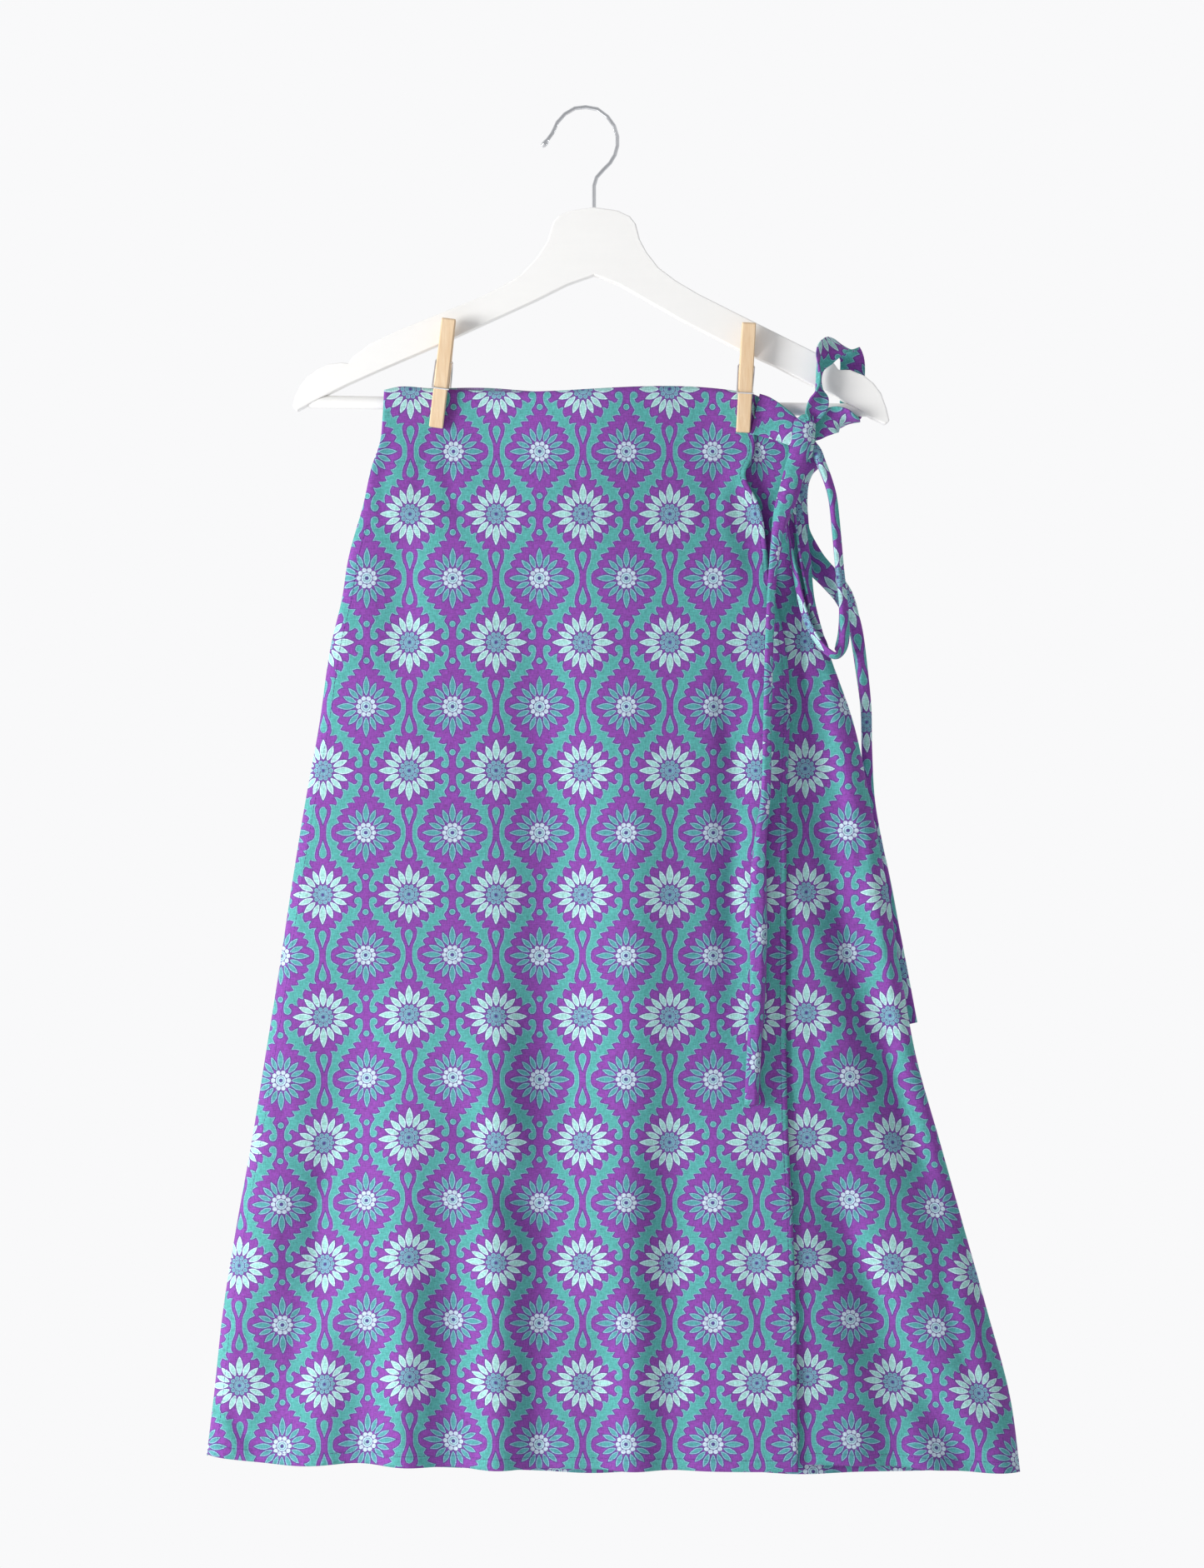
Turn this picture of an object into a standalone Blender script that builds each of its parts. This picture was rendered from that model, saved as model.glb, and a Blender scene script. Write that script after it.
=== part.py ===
"""Wrap skirt pegged on a wooden hanger, its bow tied over the hanger's tip. The tables hold places read off
the photo in its pixels, and on_photo turns them into millimetres. +X right, +Y to the wall, +Z up. The
origin is the inner top of the hook."""

import math

import bmesh
import bpy
import numpy as np
from mathutils import Vector

# Scale and view of the photo.
MM_PER_PX = 0.6
VIEW_MM = 2400.0
CENTRE_COL = 722.5
CENTRE_ROW = 941.0
CENTRE_X = 11.7
CENTRE_Z = -486.0

# Cloth.
CLOTH_WALL = 1.0
TIE_WALL = 1.5
TIE_WIDTH = 18.0
OVER_Y = -8.5
UNDER_Y = -7.15
BACK_Y = -5.8
HIDDEN_EDGE_X = -84.0

# Hanger.
BOARD_HALF = 5.6
BOARD_EDGE = 1.6
BAR_RADIUS = 4.7
WIRE_RADIUS = 1.5
CLEARANCE = 0.3

# Pegs, in their own frame: z runs up from the bar, y is depth.
PEG_WIDTH = 10.0
SPRING_WIRE = 0.6
COIL_RADIUS = 2.6
COIL_TURNS = 3

# Silhouette of the skirt: photo row, left column, right column.
OUTLINE = [
    (462, 462, 944),
    (500, 460, 946),
    (530, 457, 949),
    (560, 447, 952),
    (605, 437, 961),
    (670, 419, 972),
    (720, 411, 977),
    (770, 399, 990),
    (870, 384, 1024),
    (970, 366, 1045),
    (1070, 350, 1065),
    (1170, 335, 1081),
    (1270, 319, 1099),
    (1370, 303, 1127),
    (1470, 285, 1155),
    (1570, 269, 1183),
    (1680, 257, 1212),
    (1770, 246, 1224),
]

# Free edge of the over panel: photo row, column.
OVER_EDGE = [
    (462, 903),
    (525, 907),
    (545, 905),
    (566, 895),
    (605, 911),
    (700, 925),
    (760, 940),
    (1000, 943),
    (1350, 945),
    (1500, 952),
    (1770, 957),
]

# Top edge of the front: photo column, row. The back's is BACK_RISE higher in the middle.
WAIST = [(462, 467), (475, 464), (520, 466), (620, 470), (880, 468), (905, 472), (925, 483), (950, 500)]
BACK_RISE = 2.6

# Lower edges: photo column, row.
OVER_HEM = [(248, 1745), (267, 1751), (294, 1758), (338, 1761), (424, 1757), (560, 1760), (760, 1763), (957, 1764)]
UNDER_HEM = [(560, 1752), (961, 1754), (1041, 1758), (1104, 1763), (1156, 1769), (1223, 1766)]
BACK_HEM = [(248, 1746), (424, 1757), (568, 1766), (820, 1768), (1082, 1768), (1223, 1767)]

# Folds of the front: name, top column, top row, middle column, middle row, low column, low row,
# half width mm, depth mm. A depth under 0 is a ridge.
FRONT_FOLDS = [
    ("edge_recess", 899, 545, 902, 620, 908, 720, 9, 5),
    ("by_tail", 893, 720, 880, 1000, 884, 1330, 13, 6),
    ("centre", 640, 600, 660, 1080, 650, 1762, 24, 8),
    ("left_low", 432, 1120, 385, 1480, 308, 1762, 26, 10),
    ("left_high", 482, 600, 480, 700, 474, 830, 16, 4),
    ("slant", 552, 1310, 606, 1420, 655, 1500, 18, 5),
    ("flute_a", 436, 1560, 432, 1660, 430, 1762, 20, 8),
    ("flute_b", 548, 1480, 546, 1620, 545, 1762, 22, 7),
    ("flute_c", 722, 1540, 720, 1650, 720, 1762, 20, 7),
    ("flute_d", 806, 1300, 802, 1550, 800, 1762, 22, 8),
    ("crest_a", 590, 1100, 598, 1450, 596, 1762, 22, -7),
    ("crest_b", 760, 800, 760, 1300, 762, 1762, 24, -6),
    ("crest_c", 490, 1300, 488, 1550, 486, 1762, 22, -6),
    ("side_deep", 934, 720, 1016, 1100, 1172, 1600, 15, 13),
    ("side_crest", 972, 720, 1062, 1200, 1196, 1700, 15, -5),
    ("side_low", 975, 1370, 1045, 1560, 1158, 1764, 16, 9),
    ("edge_low", 934, 1040, 938, 1200, 940, 1360, 12, 4),
    ("side_flute", 1020, 1560, 1062, 1660, 1075, 1764, 17, 8),
]

# Folds of the back, in the photo's columns and rows as seen through from the front. Same columns.
BACK_FOLDS = [
    ("back_a", 560, 760, 520, 1300, 470, 1766, 26, 9),
    ("back_b", 700, 900, 705, 1300, 712, 1766, 26, 10),
    ("back_c", 850, 800, 890, 1300, 960, 1766, 28, 11),
    ("back_d", 420, 1250, 380, 1500, 345, 1766, 22, 8),
    ("back_crest", 780, 1100, 800, 1400, 830, 1766, 24, -7),
]

PANEL_ROWS = [0, 0.012, 0.026, 0.042, 0.058, 0.078, 0.103, 0.14, 0.18, 0.23, 0.29, 0.35, 0.41, 0.47, 0.53]
PANEL_ROWS += [0.59, 0.65, 0.71, 0.77, 0.83, 0.89, 0.95, 1.0]
BACK_ROWS = PANEL_ROWS[:8] + [0.2, 0.28, 0.37, 0.46, 0.56, 0.66, 0.76, 0.86, 0.94, 1.0]
SIDE_STEPS = 4

# Ties: column, row, depth mm, width mm, curl across in degrees, then the direction of the width.
# TAIL_FRONT hangs on the over panel: its third number is how far it stands in front of that.
STUB = [
    (906, 497, -10.6, 30, 0, (0.1, 0, 1)),
    (914, 499, -10.8, 29, 0, (0.2, 0, 1)),
    (925, 504, -11.4, 27, 15, (0.35, 0, 1)),
    (937, 510, -12.6, 24, 35, (0.4, 0, 1)),
    (948.5, 517, -14.4, 21, 50, (0.4, 0, 1)),
]
LOOP_HANGER = [
    (973.8, 500.5, -18.4, 12, 60, (0.85, 0.1, 0.5)),
    (980, 490, -17.4, 15, 40, (0.93, 0.15, 0.3)),
    (984, 479, -15.2, 16, 40, (0.9, 0.4, 0.15)),
    (983, 467, -13.6, 15, 60, (0.5, 0.86, 0)),
    (982, 455, -13.6, 14, 70, (0.25, 0.97, 0)),
    (983, 443, -13.6, 15, 60, (0.4, 0.9, -0.1)),
    (987, 431, -13.2, 17, 40, (0.72, 0.6, -0.35)),
    (994, 420, -10.6, 18, 20, (0.86, 0.25, -0.45)),
    (1003, 413, -5.2, 18, 10, (0.9, 0.1, -0.42)),
    (1012, 413, 1.6, 18, 10, (0.93, 0, -0.36)),
    (1020, 420, 7.4, 18, 10, (0.97, 0, -0.22)),
    (1023, 434, 8.6, 18, 10, (1, 0, -0.06)),
    (1023, 455, 8.6, 18, 10, (1, 0, 0)),
    (1023, 478, 8.4, 18, 10, (1, 0, 0)),
    (1023, 497, 7.2, 18, 10, (1, 0, 0)),
    (1023, 507.5, 2.4, 18, 10, (0.95, -0.3, 0)),
    (1023, 508.5, -3.4, 18, 10, (0.75, -0.65, 0.15)),
    (1018, 506, -8.8, 18, 10, (0.3, -0.88, 0.38)),
    (1010, 503.5, -12.2, 18, 12, (0.15, -0.45, 0.85)),
    (1001, 504, -13.6, 19, 15, (0, -0.1, 1)),
    (992, 507.5, -14.2, 18.5, 18, (-0.2, 0, 1)),
    (985, 511, -14.6, 17.5, 25, (-0.2, 0, 1)),
]
LOOP_SIDE = [
    (981, 542.6, -15.7, 15, 150, (0.9, 0.4, 0.5)),
    (986, 556, -16.4, 16, 190, (0.95, 0.5, 0.35)),
    (993, 575, -17.0, 17, 225, (1, 0.6, 0.25)),
    (999, 598, -17.4, 17, 235, (1, 0.6, 0.1)),
    (1003, 635, -17.4, 17, 235, (1, 0.6, 0)),
    (1007, 680, -17.6, 17, 235, (1, 0.6, 0)),
    (1012, 730, -18.0, 17, 235, (1, 0.6, 0)),
    (1013, 768, -18.6, 17, 190, (0.8, 0.9, 0)),
    (1006, 786, -19.6, 17, 110, (0.3, 1, 0)),
    (995, 785, -20.6, 17, 90, (0, 1, 0)),
    (982, 768, -21.4, 17, 150, (0.5, 0.9, 0)),
    (968, 736, -21.0, 17, 200, (0.9, 0.7, 0)),
    (958, 690, -18.4, 16, 200, (1, 0.5, 0)),
    (950, 640, -15.6, 14, 170, (1, 0.3, 0)),
    (947, 600, -13.6, 12, 140, (1, 0.2, 0)),
    (951, 566, -12.8, 11, 120, (1, 0.2, 0)),
]
TAIL_FRONT = [
    (956, 556, 11.4, 15, 40, (1, 0.05, 0.12)),
    (952, 570, 12.6, 15, 50, (1, 0.05, 0.2)),
    (948, 588, 13.0, 16, 70, (1, 0.1, 0.3)),
    (941, 612, 12.0, 16, 100, (1, 0.15, 0.3)),
    (934, 640, 10.5, 17, 150, (1, 0.2, 0.1)),
    (927, 690, 8.5, 18, 205, (1, 0.3, 0)),
    (923, 770, 8.0, 18, 230, (1, 0.3, 0)),
    (921, 850, 8.0, 18, 225, (1, 0.3, 0)),
    (919, 950, 7.5, 18, 200, (1, 0.3, 0)),
    (914, 1000, 7.0, 18, 170, (1, 0.2, 0)),
    (911, 1060, 6.5, 18, 140, (1, 0.1, 0)),
    (910, 1130, 6.5, 18, 140, (1, -0.1, 0)),
    (908, 1200, 6.5, 18, 150, (1, -0.2, 0)),
    (904, 1260, 6.5, 18, 160, (1, -0.2, 0)),
    (901, 1326, 6.5, 18, 160, (1, -0.2, 0)),
]
TAIL_SIDE = [
    (975, 543, -12.2, 12, 60, (0.9, 0.3, 0.3)),
    (979, 553, -9.0, 13, 60, (0.95, 0.3, 0.2)),
    (973, 563, -5.6, 14, 60, (0.95, 0.2, 0.35)),
    (966, 574, -0.6, 14, 60, (0.9, 0.2, 0.5)),
    (960, 587, 3.6, 14, 50, (0.95, 0.2, 0.35)),
    (957, 604, 6.8, 15, 40, (1, 0.1, 0.1)),
    (957, 622, 8.2, 16, 40, (1, 0, 0)),
    (959, 638, 8.2, 16, 40, (1, 0, 0.1)),
    (965, 654, 7.4, 17, 40, (1, -0.2, 0.5)),
    (978, 676, 3.4, 18, 60, (0.9, -0.4, 0.8)),
    (996, 696, -2.0, 18, 90, (0.8, -0.3, 0.8)),
    (1014, 718, -4.0, 18, 120, (0.9, 0, 0.5)),
    (1027, 752, -3.0, 18, 170, (1, 0.2, 0.2)),
    (1034, 800, -1.0, 18, 200, (1, 0.4, 0)),
    (1039, 850, 2.0, 18, 220, (1, 0.4, 0)),
    (1040, 900, 5.0, 18, 225, (1, 0.4, 0)),
    (1043, 960, 7.4, 18, 200, (1, 0.3, 0)),
    (1053, 1020, 9.0, 18, 150, (1, 0.2, 0)),
    (1062, 1065, 10.0, 18, 140, (1, 0.2, 0)),
    (1071, 1110, 11.0, 18, 150, (1, 0.2, 0)),
    (1081, 1160, 12.0, 18, 170, (1, 0.2, 0)),
    (1094, 1228, 13.4, 18, 190, (1, 0.2, 0)),
]
TIE_STEPS = 2
ACROSS = 4

# Edge of the hanger's board, clockwise from its left tip: photo column, row.
BOARD = [
    (352, 489), (355, 477), (361, 464), (370, 453), (382, 444), (396, 438), (410, 436), (419, 437), (424, 429),
    (432, 423), (445, 413), (482, 396), (521, 380), (576, 358), (606, 343), (625, 331), (644, 311), (657, 291),
    (664, 268), (671, 260), (685, 254), (713, 250), (741, 254), (756, 261), (763, 270), (768, 289), (776, 304),
    (790, 322), (811, 338), (838, 354), (870, 370), (930, 400), (978, 424), (994, 432), (1001, 438), (1006, 445),
    (1020, 445), (1037, 452), (1048, 461), (1057, 473), (1063, 490), (1067, 506), (1062, 510), (1045, 502),
    (1001, 475), (976, 464), (930, 440), (885, 420), (821, 387), (772, 359), (742, 342), (713, 331), (682, 342),
    (644, 361), (585, 388), (526, 415), (463, 442), (418, 462), (380, 481), (357, 494),
]  # fmt: skip
BAR_ENDS = [(371, 482.3), (1042, 492.4)]

# Centre of the hook's wire from inside the board to its end: photo column, row, thickness as a part of 1.
HOOK = [
    (713, 270, 1), (713, 250, 1), (713, 235, 1), (713, 223, 1), (716, 213, 1), (724, 204, 1), (732, 196, 1),
    (738, 186, 1), (741, 175, 1), (741, 164, 1), (737, 151, 1), (729, 140, 1), (717, 131, 1), (703, 128.5, 1),
    (690, 130, 1), (678, 137, 1), (669, 147, 1), (663, 160, 1), (657.5, 167.5, 1), (655.5, 170.5, 1.45),
    (653, 173.5, 1.45), (650.5, 176, 1),
]  # fmt: skip

# Side view of the peg legs: y, z from the bar's centre, round each leg.
FRONT_LEG = [
    (-9.5, -18.6), (-14.2, -18.6), (-16.0, -6.0), (-16.8, 8.0), (-18.6, 30.0), (-20.4, 58.0), (-19.6, 59.4),
    (-17.2, 59.4), (-13.4, 31.0), (-9.5, 8.5),
]  # fmt: skip
BACK_LEG = [
    (9.6, -18.6), (7.4, -9.0), (5.4, 0.0), (-5.3, 30.0), (-15.9, 59.4), (-13.4, 59.4), (-7.0, 42.0),
    (-6.3, 36.8), (0.0, 28.0), (6.6, 15.0), (11.6, 0.0), (14.2, -18.6),
]  # fmt: skip
# Turns of flat outlines: drawn face on, or drawn from the side.
UPRIGHT = (math.pi / 2, 0, 0)
SIDEWAYS = (math.pi / 2, 0, math.pi / 2)
# Pegs: name, column and row where it crosses the bar, lean to the right at its top in degrees.
PEGS = [("peg_left", 528.0, 484.6, 7.0), ("peg_right", 892.5, 490.2, 3.0)]


def on_photo(col, row, depth):
    """The point in millimetres that the photo shows at this column and row, at this depth."""
    k = MM_PER_PX * (VIEW_MM + depth) / VIEW_MM
    return np.array([(col - CENTRE_COL) * k + CENTRE_X, depth, CENTRE_Z - (row - CENTRE_ROW) * k])


def smooth(at, xs, ys):
    """Soft curve through a table, straight past its ends."""
    xs = np.asarray(xs, float)
    ys = np.asarray(ys, float)
    slopes = np.gradient(ys, xs)
    i = np.clip(np.searchsorted(xs, at) - 1, 0, len(xs) - 2)
    h = xs[i + 1] - xs[i]
    t = np.clip((at - xs[i]) / h, 0, 1)
    a = (1 + 2 * t) * (1 - t) ** 2 * ys[i] + t * (1 - t) ** 2 * h * slopes[i]
    return a + t * t * (3 - 2 * t) * ys[i + 1] + t * t * (t - 1) * h * slopes[i + 1]


def ramp(at, start, end):
    t = np.clip((at - start) / (end - start), 0, 1)
    return t * t * (3 - 2 * t)


def column_of(x, depth):
    return (x - CENTRE_X) * VIEW_MM / (MM_PER_PX * (VIEW_MM + depth)) + CENTRE_COL


def row_of(z, depth):
    return CENTRE_ROW - (z - CENTRE_Z) * VIEW_MM / (MM_PER_PX * (VIEW_MM + depth))


def lower(z):
    """0 at the pegs' ends, 1 at the hem."""
    return np.clip((-z - 232.0) / 748.0, 0, 1)


def side_y(z):
    """Depth of the side seams."""
    return (OVER_Y + BACK_Y) / 2 - 4.0 * lower(z)


def side_radius(z):
    return (BACK_Y - OVER_Y) / 2 + 3.0 * ramp(-z, 236, 320) + 9.0 * lower(z)


def outline(z):
    """x of the left and right side at this height."""
    depth = side_y(z)
    row = row_of(z, depth)
    rows = [r for r, _, _ in OUTLINE]
    left = smooth(row, rows, [c for _, c, _ in OUTLINE])
    right = smooth(row, rows, [c for _, _, c in OUTLINE])
    return on_photo(left, row, depth)[0], on_photo(right, row, depth)[0]


def over_edge(z):
    depth = -15.0 - 22.0 * lower(z)
    column = smooth(row_of(z, depth), [r for r, _ in OVER_EDGE], [c for _, c in OVER_EDGE])
    return on_photo(column, CENTRE_ROW, depth)[0]


def edge_z(x, table, depth):
    column = column_of(x, depth)
    row = smooth(column, [c for c, _ in table], [r for _, r in table])
    return on_photo(CENTRE_COL, row, depth)[2]


def folds(x, z, table, depth):
    """How far the folds of a table push the cloth in at this place."""
    column = column_of(x, depth)
    row = row_of(z, depth)
    total = 0.0
    for _, c0, r0, c1, r1, c2, r2, half, deep in table:
        centre = smooth(row, [r0, r1, r2], [c0, c1, c2])
        off = (column - centre) * MM_PER_PX / half
        end = 0.35 * (r2 - r0)
        fade = ramp(row, r0 - 0.1 * end, r0 + end)
        if r2 < 1740:
            fade *= 1 - ramp(row, r2 - end, r2 + 0.1 * end)
        total += deep * fade * math.exp(-off * off)
    return total


def across(x, z):
    left, right = outline(z)
    return np.clip((2 * x - left - right) / (right - left), -1, 1)


def front_y(x, z):
    """Depth of the over panel's middle line, away from the sides."""
    t = lower(z)
    full = side_radius(z) + (7.0 * ramp(-z, 234, 340) + 18.0 * t) * (1 - across(x, z) ** 4)
    fold = folds(x, z, FRONT_FOLDS, -20.0 - 20.0 * t)
    if fold > 0:
        fold = fold * full / (full + 0.6 * fold)
    slack = np.clip(1 - abs(x - 4.0) / 100.0, 0, 1)
    slack = 8.5 * slack * slack * (3 - 2 * slack) * math.exp(-4.0 * t)
    return side_y(z) - full - slack + fold


def under_y(x, z):
    """Depth of the under panel's middle line: behind the over panel's, with its folds."""
    gap = UNDER_Y - OVER_Y + 1.4 * ramp(-z, 234, 300) + 0.8 * lower(z)
    gap += 0.12 * max(OVER_Y - front_y(x, z), 0) * (1 - ramp(-z, 234, 300))
    return front_y(x, z) + gap


def back_y(x, z):
    full = side_radius(z) + (5.0 * ramp(-z, 236, 340) + 9.0 * lower(z)) * (1 - across(x, z) ** 4)
    fold = folds(x, z, BACK_FOLDS, 0.0)
    if fold > 0:
        fold = fold * full / (full + 0.6 * fold)
    return side_y(z) + full - fold


def turned(x, z, flat, side, sign):
    """The flat line bent round to the seam near a side. side is -1 at the left and 1 at the right."""
    x_side = outline(z)[0] if side < 0 else outline(z)[1]
    reach = 1.25 * side_radius(z)
    seam = side_y(z)
    if side > 0:
        seam += (UNDER_Y - OVER_Y) / 2 * (1 - ramp(-z, 250, 330))
    seam += sign * (0.35 + 0.4 * (side > 0) * (1 - ramp(-z, 262, 330)))
    near = np.clip(1 - abs(x_side - x) / reach, 0, 1)
    return seam + (flat - seam) * math.sqrt(max(1 - near * near, 0))


def side_columns(z, side):
    """x of the steps round a side, from the seam inwards."""
    x_side = outline(z)[0] if side < 0 else outline(z)[1]
    reach = 1.25 * side_radius(z)
    angles = np.linspace(0, math.pi / 2, SIDE_STEPS + 1)
    return [x_side - side * reach * (1 - math.cos(a)) for a in angles]


def over_columns(z, count):
    turn = side_columns(z, -1)
    return turn + list(np.linspace(turn[-1], over_edge(z), count + 1)[1:])


def under_columns(z, count):
    turn = side_columns(z, 1)
    return turn + list(np.linspace(turn[-1], HIDDEN_EDGE_X, count + 1)[1:])


def back_columns(z, count):
    left = side_columns(z, -1)
    right = side_columns(z, 1)
    return left + list(np.linspace(left[-1], right[-1], count + 1)[1:-1]) + right[::-1]


def over_point(x, z):
    lift = 1.5 * math.exp(-(((over_edge(z) - x) / 14.0) ** 2)) * ramp(-z, 240, 330)
    return turned(x, z, front_y(x, z) - lift, -1, -1)


def under_point(x, z):
    return turned(x, z, under_y(x, z), 1, -1)


def back_point(x, z):
    return turned(x, z, turned(x, z, back_y(x, z), -1, 1), 1, 1)


def over_ends(x):
    return edge_z(x, WAIST, -12.0), edge_z(x, OVER_HEM, -40.0)


def under_ends(x):
    return edge_z(x, WAIST, -12.0) - 1.0, edge_z(x, UNDER_HEM, -34.0)


def back_ends(x):
    rise = BACK_RISE * math.exp(-(((x + 70.0) / 34.0) ** 2))
    return edge_z(x, WAIST, -12.0) + rise, edge_z(x, BACK_HEM, 5.0)


def panel_grid(columns, point, ends, rows, count):
    """Rows of points on the middle of a panel, from the waist to the hem."""
    grid = []
    for v in rows:
        top, hem = ends(0.0)
        xs = columns(top + v * (hem - top), count)
        line = []
        for k in range(len(xs)):
            top, hem = ends(xs[k])
            z = top + v * (hem - top)
            x = columns(z, count)[k]
            line.append((x, point(x, z), z))
        grid.append(line)
    return grid


def material(name, colour, rough, metal=0.0):
    made = bpy.data.materials.new(name)
    made.use_nodes = True
    shader = made.node_tree.nodes["Principled BSDF"]
    shader.inputs["Base Color"].default_value = (*colour, 1)
    shader.inputs["Roughness"].default_value = rough
    shader.inputs["Metallic"].default_value = metal
    made.diffuse_color = (*colour, 1)
    return made


def add(name, mesh, paint):
    mesh.materials.append(paint)
    made = bpy.data.objects.new(name, mesh)
    collection.objects.link(made)
    return made


def mesh_of(name, points, faces):
    mesh = bpy.data.meshes.new(name)
    mesh.from_pydata([tuple(0.001 * c for c in p) for p in points], [], faces)
    mesh.update()
    return mesh


def sheet(name, grid, wall, paint, flip):
    """A cloth wall round a grid of middle points."""
    wide = len(grid[0])
    faces = []
    for r in range(len(grid) - 1):
        for c in range(wide - 1):
            face = (r * wide + c, r * wide + c + 1, (r + 1) * wide + c + 1, (r + 1) * wide + c)
            faces.append(face[::-1] if flip else face)
    made = add(name, mesh_of(name, [p for line in grid for p in line], faces), paint)
    thick = made.modifiers.new("wall", "SOLIDIFY")
    thick.thickness = 0.001 * wall
    thick.offset = 0
    thick.use_even_offset = False
    return made


def before_front(table):
    """The table with depths in place of distances in front of the over panel."""
    rows = []
    for col, row, lift, width, curl, hint in table:
        x, _, z = on_photo(col, row, -30.0)
        rows.append((col, row, front_y(x, z) - lift, width, curl, hint))
    return rows


def tie(name, table, steps):
    """A folded strip swept along the table's points."""
    middle = [on_photo(c, r, d) for c, r, d, _, _, _ in table]
    at = np.arange(len(table), dtype=float)
    fine = np.linspace(0, len(table) - 1, (len(table) - 1) * steps + 1)
    path = np.stack([smooth(fine, at, [p[k] for p in middle]) for k in range(3)], axis=1)
    widths = smooth(fine, at, [row[3] for row in table])
    curls = smooth(fine, at, [row[4] for row in table])
    hints = np.stack([smooth(fine, at, [row[5][k] for row in table]) for k in range(3)], axis=1)
    along = np.gradient(path, axis=0)
    grid = []
    for p, t, w, curl, hint in zip(path, along, widths, curls, hints, strict=True):
        t = t / np.linalg.norm(t)
        side = hint - t * (hint @ t)
        side /= np.linalg.norm(side)
        out = np.cross(t, side)
        bend = math.radians(max(curl, 0.5))
        radius = w / bend
        line = []
        for a in np.linspace(-bend / 2, bend / 2, ACROSS + 1):
            rise = radius * (math.cos(a) - math.cos(bend / 4))
            line.append(p + side * radius * math.sin(a) + out * rise)
        grid.append(line)
    return sheet(name, grid, TIE_WALL, cloth, False)


def flat(name, outline_points, half, paint, turn):
    """A flat outline given half its thickness each way, as a closed mesh turned into place."""
    curve = bpy.data.curves.new(name, "CURVE")
    curve.dimensions = "2D"
    curve.fill_mode = "BOTH"
    curve.extrude = 0.001 * half
    line = curve.splines.new("POLY")
    line.points.add(len(outline_points) - 1)
    for point, (u, v) in zip(line.points, outline_points, strict=True):
        point.co = (0.001 * u, 0.001 * v, 0, 1)
    line.use_cyclic_u = True
    drawn = bpy.data.objects.new(name + "_outline", curve)
    collection.objects.link(drawn)
    bpy.context.view_layer.update()
    mesh = bpy.data.meshes.new_from_object(drawn.evaluated_get(bpy.context.evaluated_depsgraph_get()))
    bpy.data.objects.remove(drawn, do_unlink=True)
    build = bmesh.new()
    build.from_mesh(mesh)
    bmesh.ops.remove_doubles(build, verts=build.verts, dist=1e-6)
    bmesh.ops.recalc_face_normals(build, faces=build.faces)
    build.to_mesh(mesh)
    build.free()
    made = add(name, mesh, paint)
    made.rotation_euler = turn
    return made


def soft_edges(made, width, segments):
    bevel = made.modifiers.new("edges", "BEVEL")
    bevel.width = 0.001 * width
    bevel.segments = segments
    bevel.limit_method = "ANGLE"
    bevel.angle_limit = math.radians(50)
    return made


def rod(name, start, end, radius, sides, paint):
    """A plain cylinder between two points."""
    start = Vector(start) * 0.001
    end = Vector(end) * 0.001
    build = bmesh.new()
    length = (end - start).length
    bmesh.ops.create_cone(
        build, cap_ends=True, segments=sides, radius1=0.001 * radius, radius2=0.001 * radius, depth=length
    )
    mesh = bpy.data.meshes.new(name)
    build.to_mesh(mesh)
    build.free()
    made = add(name, mesh, paint)
    made.rotation_mode = "QUATERNION"
    made.rotation_quaternion = (end - start).to_track_quat("Z", "Y")
    made.location = (start + end) / 2
    return made


def cutter(made, target):
    """Takes the shape out of the target and hides it."""
    collection.objects.unlink(made)
    cutters.objects.link(made)
    made.hide_render = True
    made.display_type = "WIRE"
    cut = target.modifiers.new(made.name, "BOOLEAN")
    cut.operation = "DIFFERENCE"
    cut.solver = "EXACT"
    cut.object = made


def wire(name, points, radius, paint, sides, radii=None):
    """A round wire along points."""
    curve = bpy.data.curves.new(name, "CURVE")
    curve.dimensions = "3D"
    curve.bevel_depth = 0.001 * radius
    curve.bevel_resolution = (sides - 4) // 2
    curve.use_fill_caps = True
    line = curve.splines.new("POLY")
    line.points.add(len(points) - 1)
    for k, point in enumerate(points):
        line.points[k].co = (*(0.001 * c for c in point), 1)
        line.points[k].radius = 1.0 if radii is None else radii[k]
    curve.materials.append(paint)
    made = bpy.data.objects.new(name, curve)
    collection.objects.link(made)
    return made


def knot():
    """The tight lump of the bow's knot."""
    build = bmesh.new()
    bmesh.ops.create_uvsphere(build, u_segments=18, v_segments=12, radius=1.0)
    for vert in build.verts:
        p = np.array(vert.co)
        p = np.sign(p) * np.abs(p) ** 0.75
        turn = math.atan2(p[1], p[0])
        pinch = 1 - 0.1 * p[2] * p[2] + 0.03 * math.cos(6 * turn + 2 * p[2])
        p = p * np.array([7.4 * pinch, 5.8 * pinch, 15.4])
        p[0] += 0.12 * p[2]
        vert.co = Vector(0.001 * (p + on_photo(964.0, 525.0, -15.6)))
    mesh = bpy.data.meshes.new("tie_knot")
    build.to_mesh(mesh)
    build.free()
    return add("tie_knot", mesh, cloth)


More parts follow.
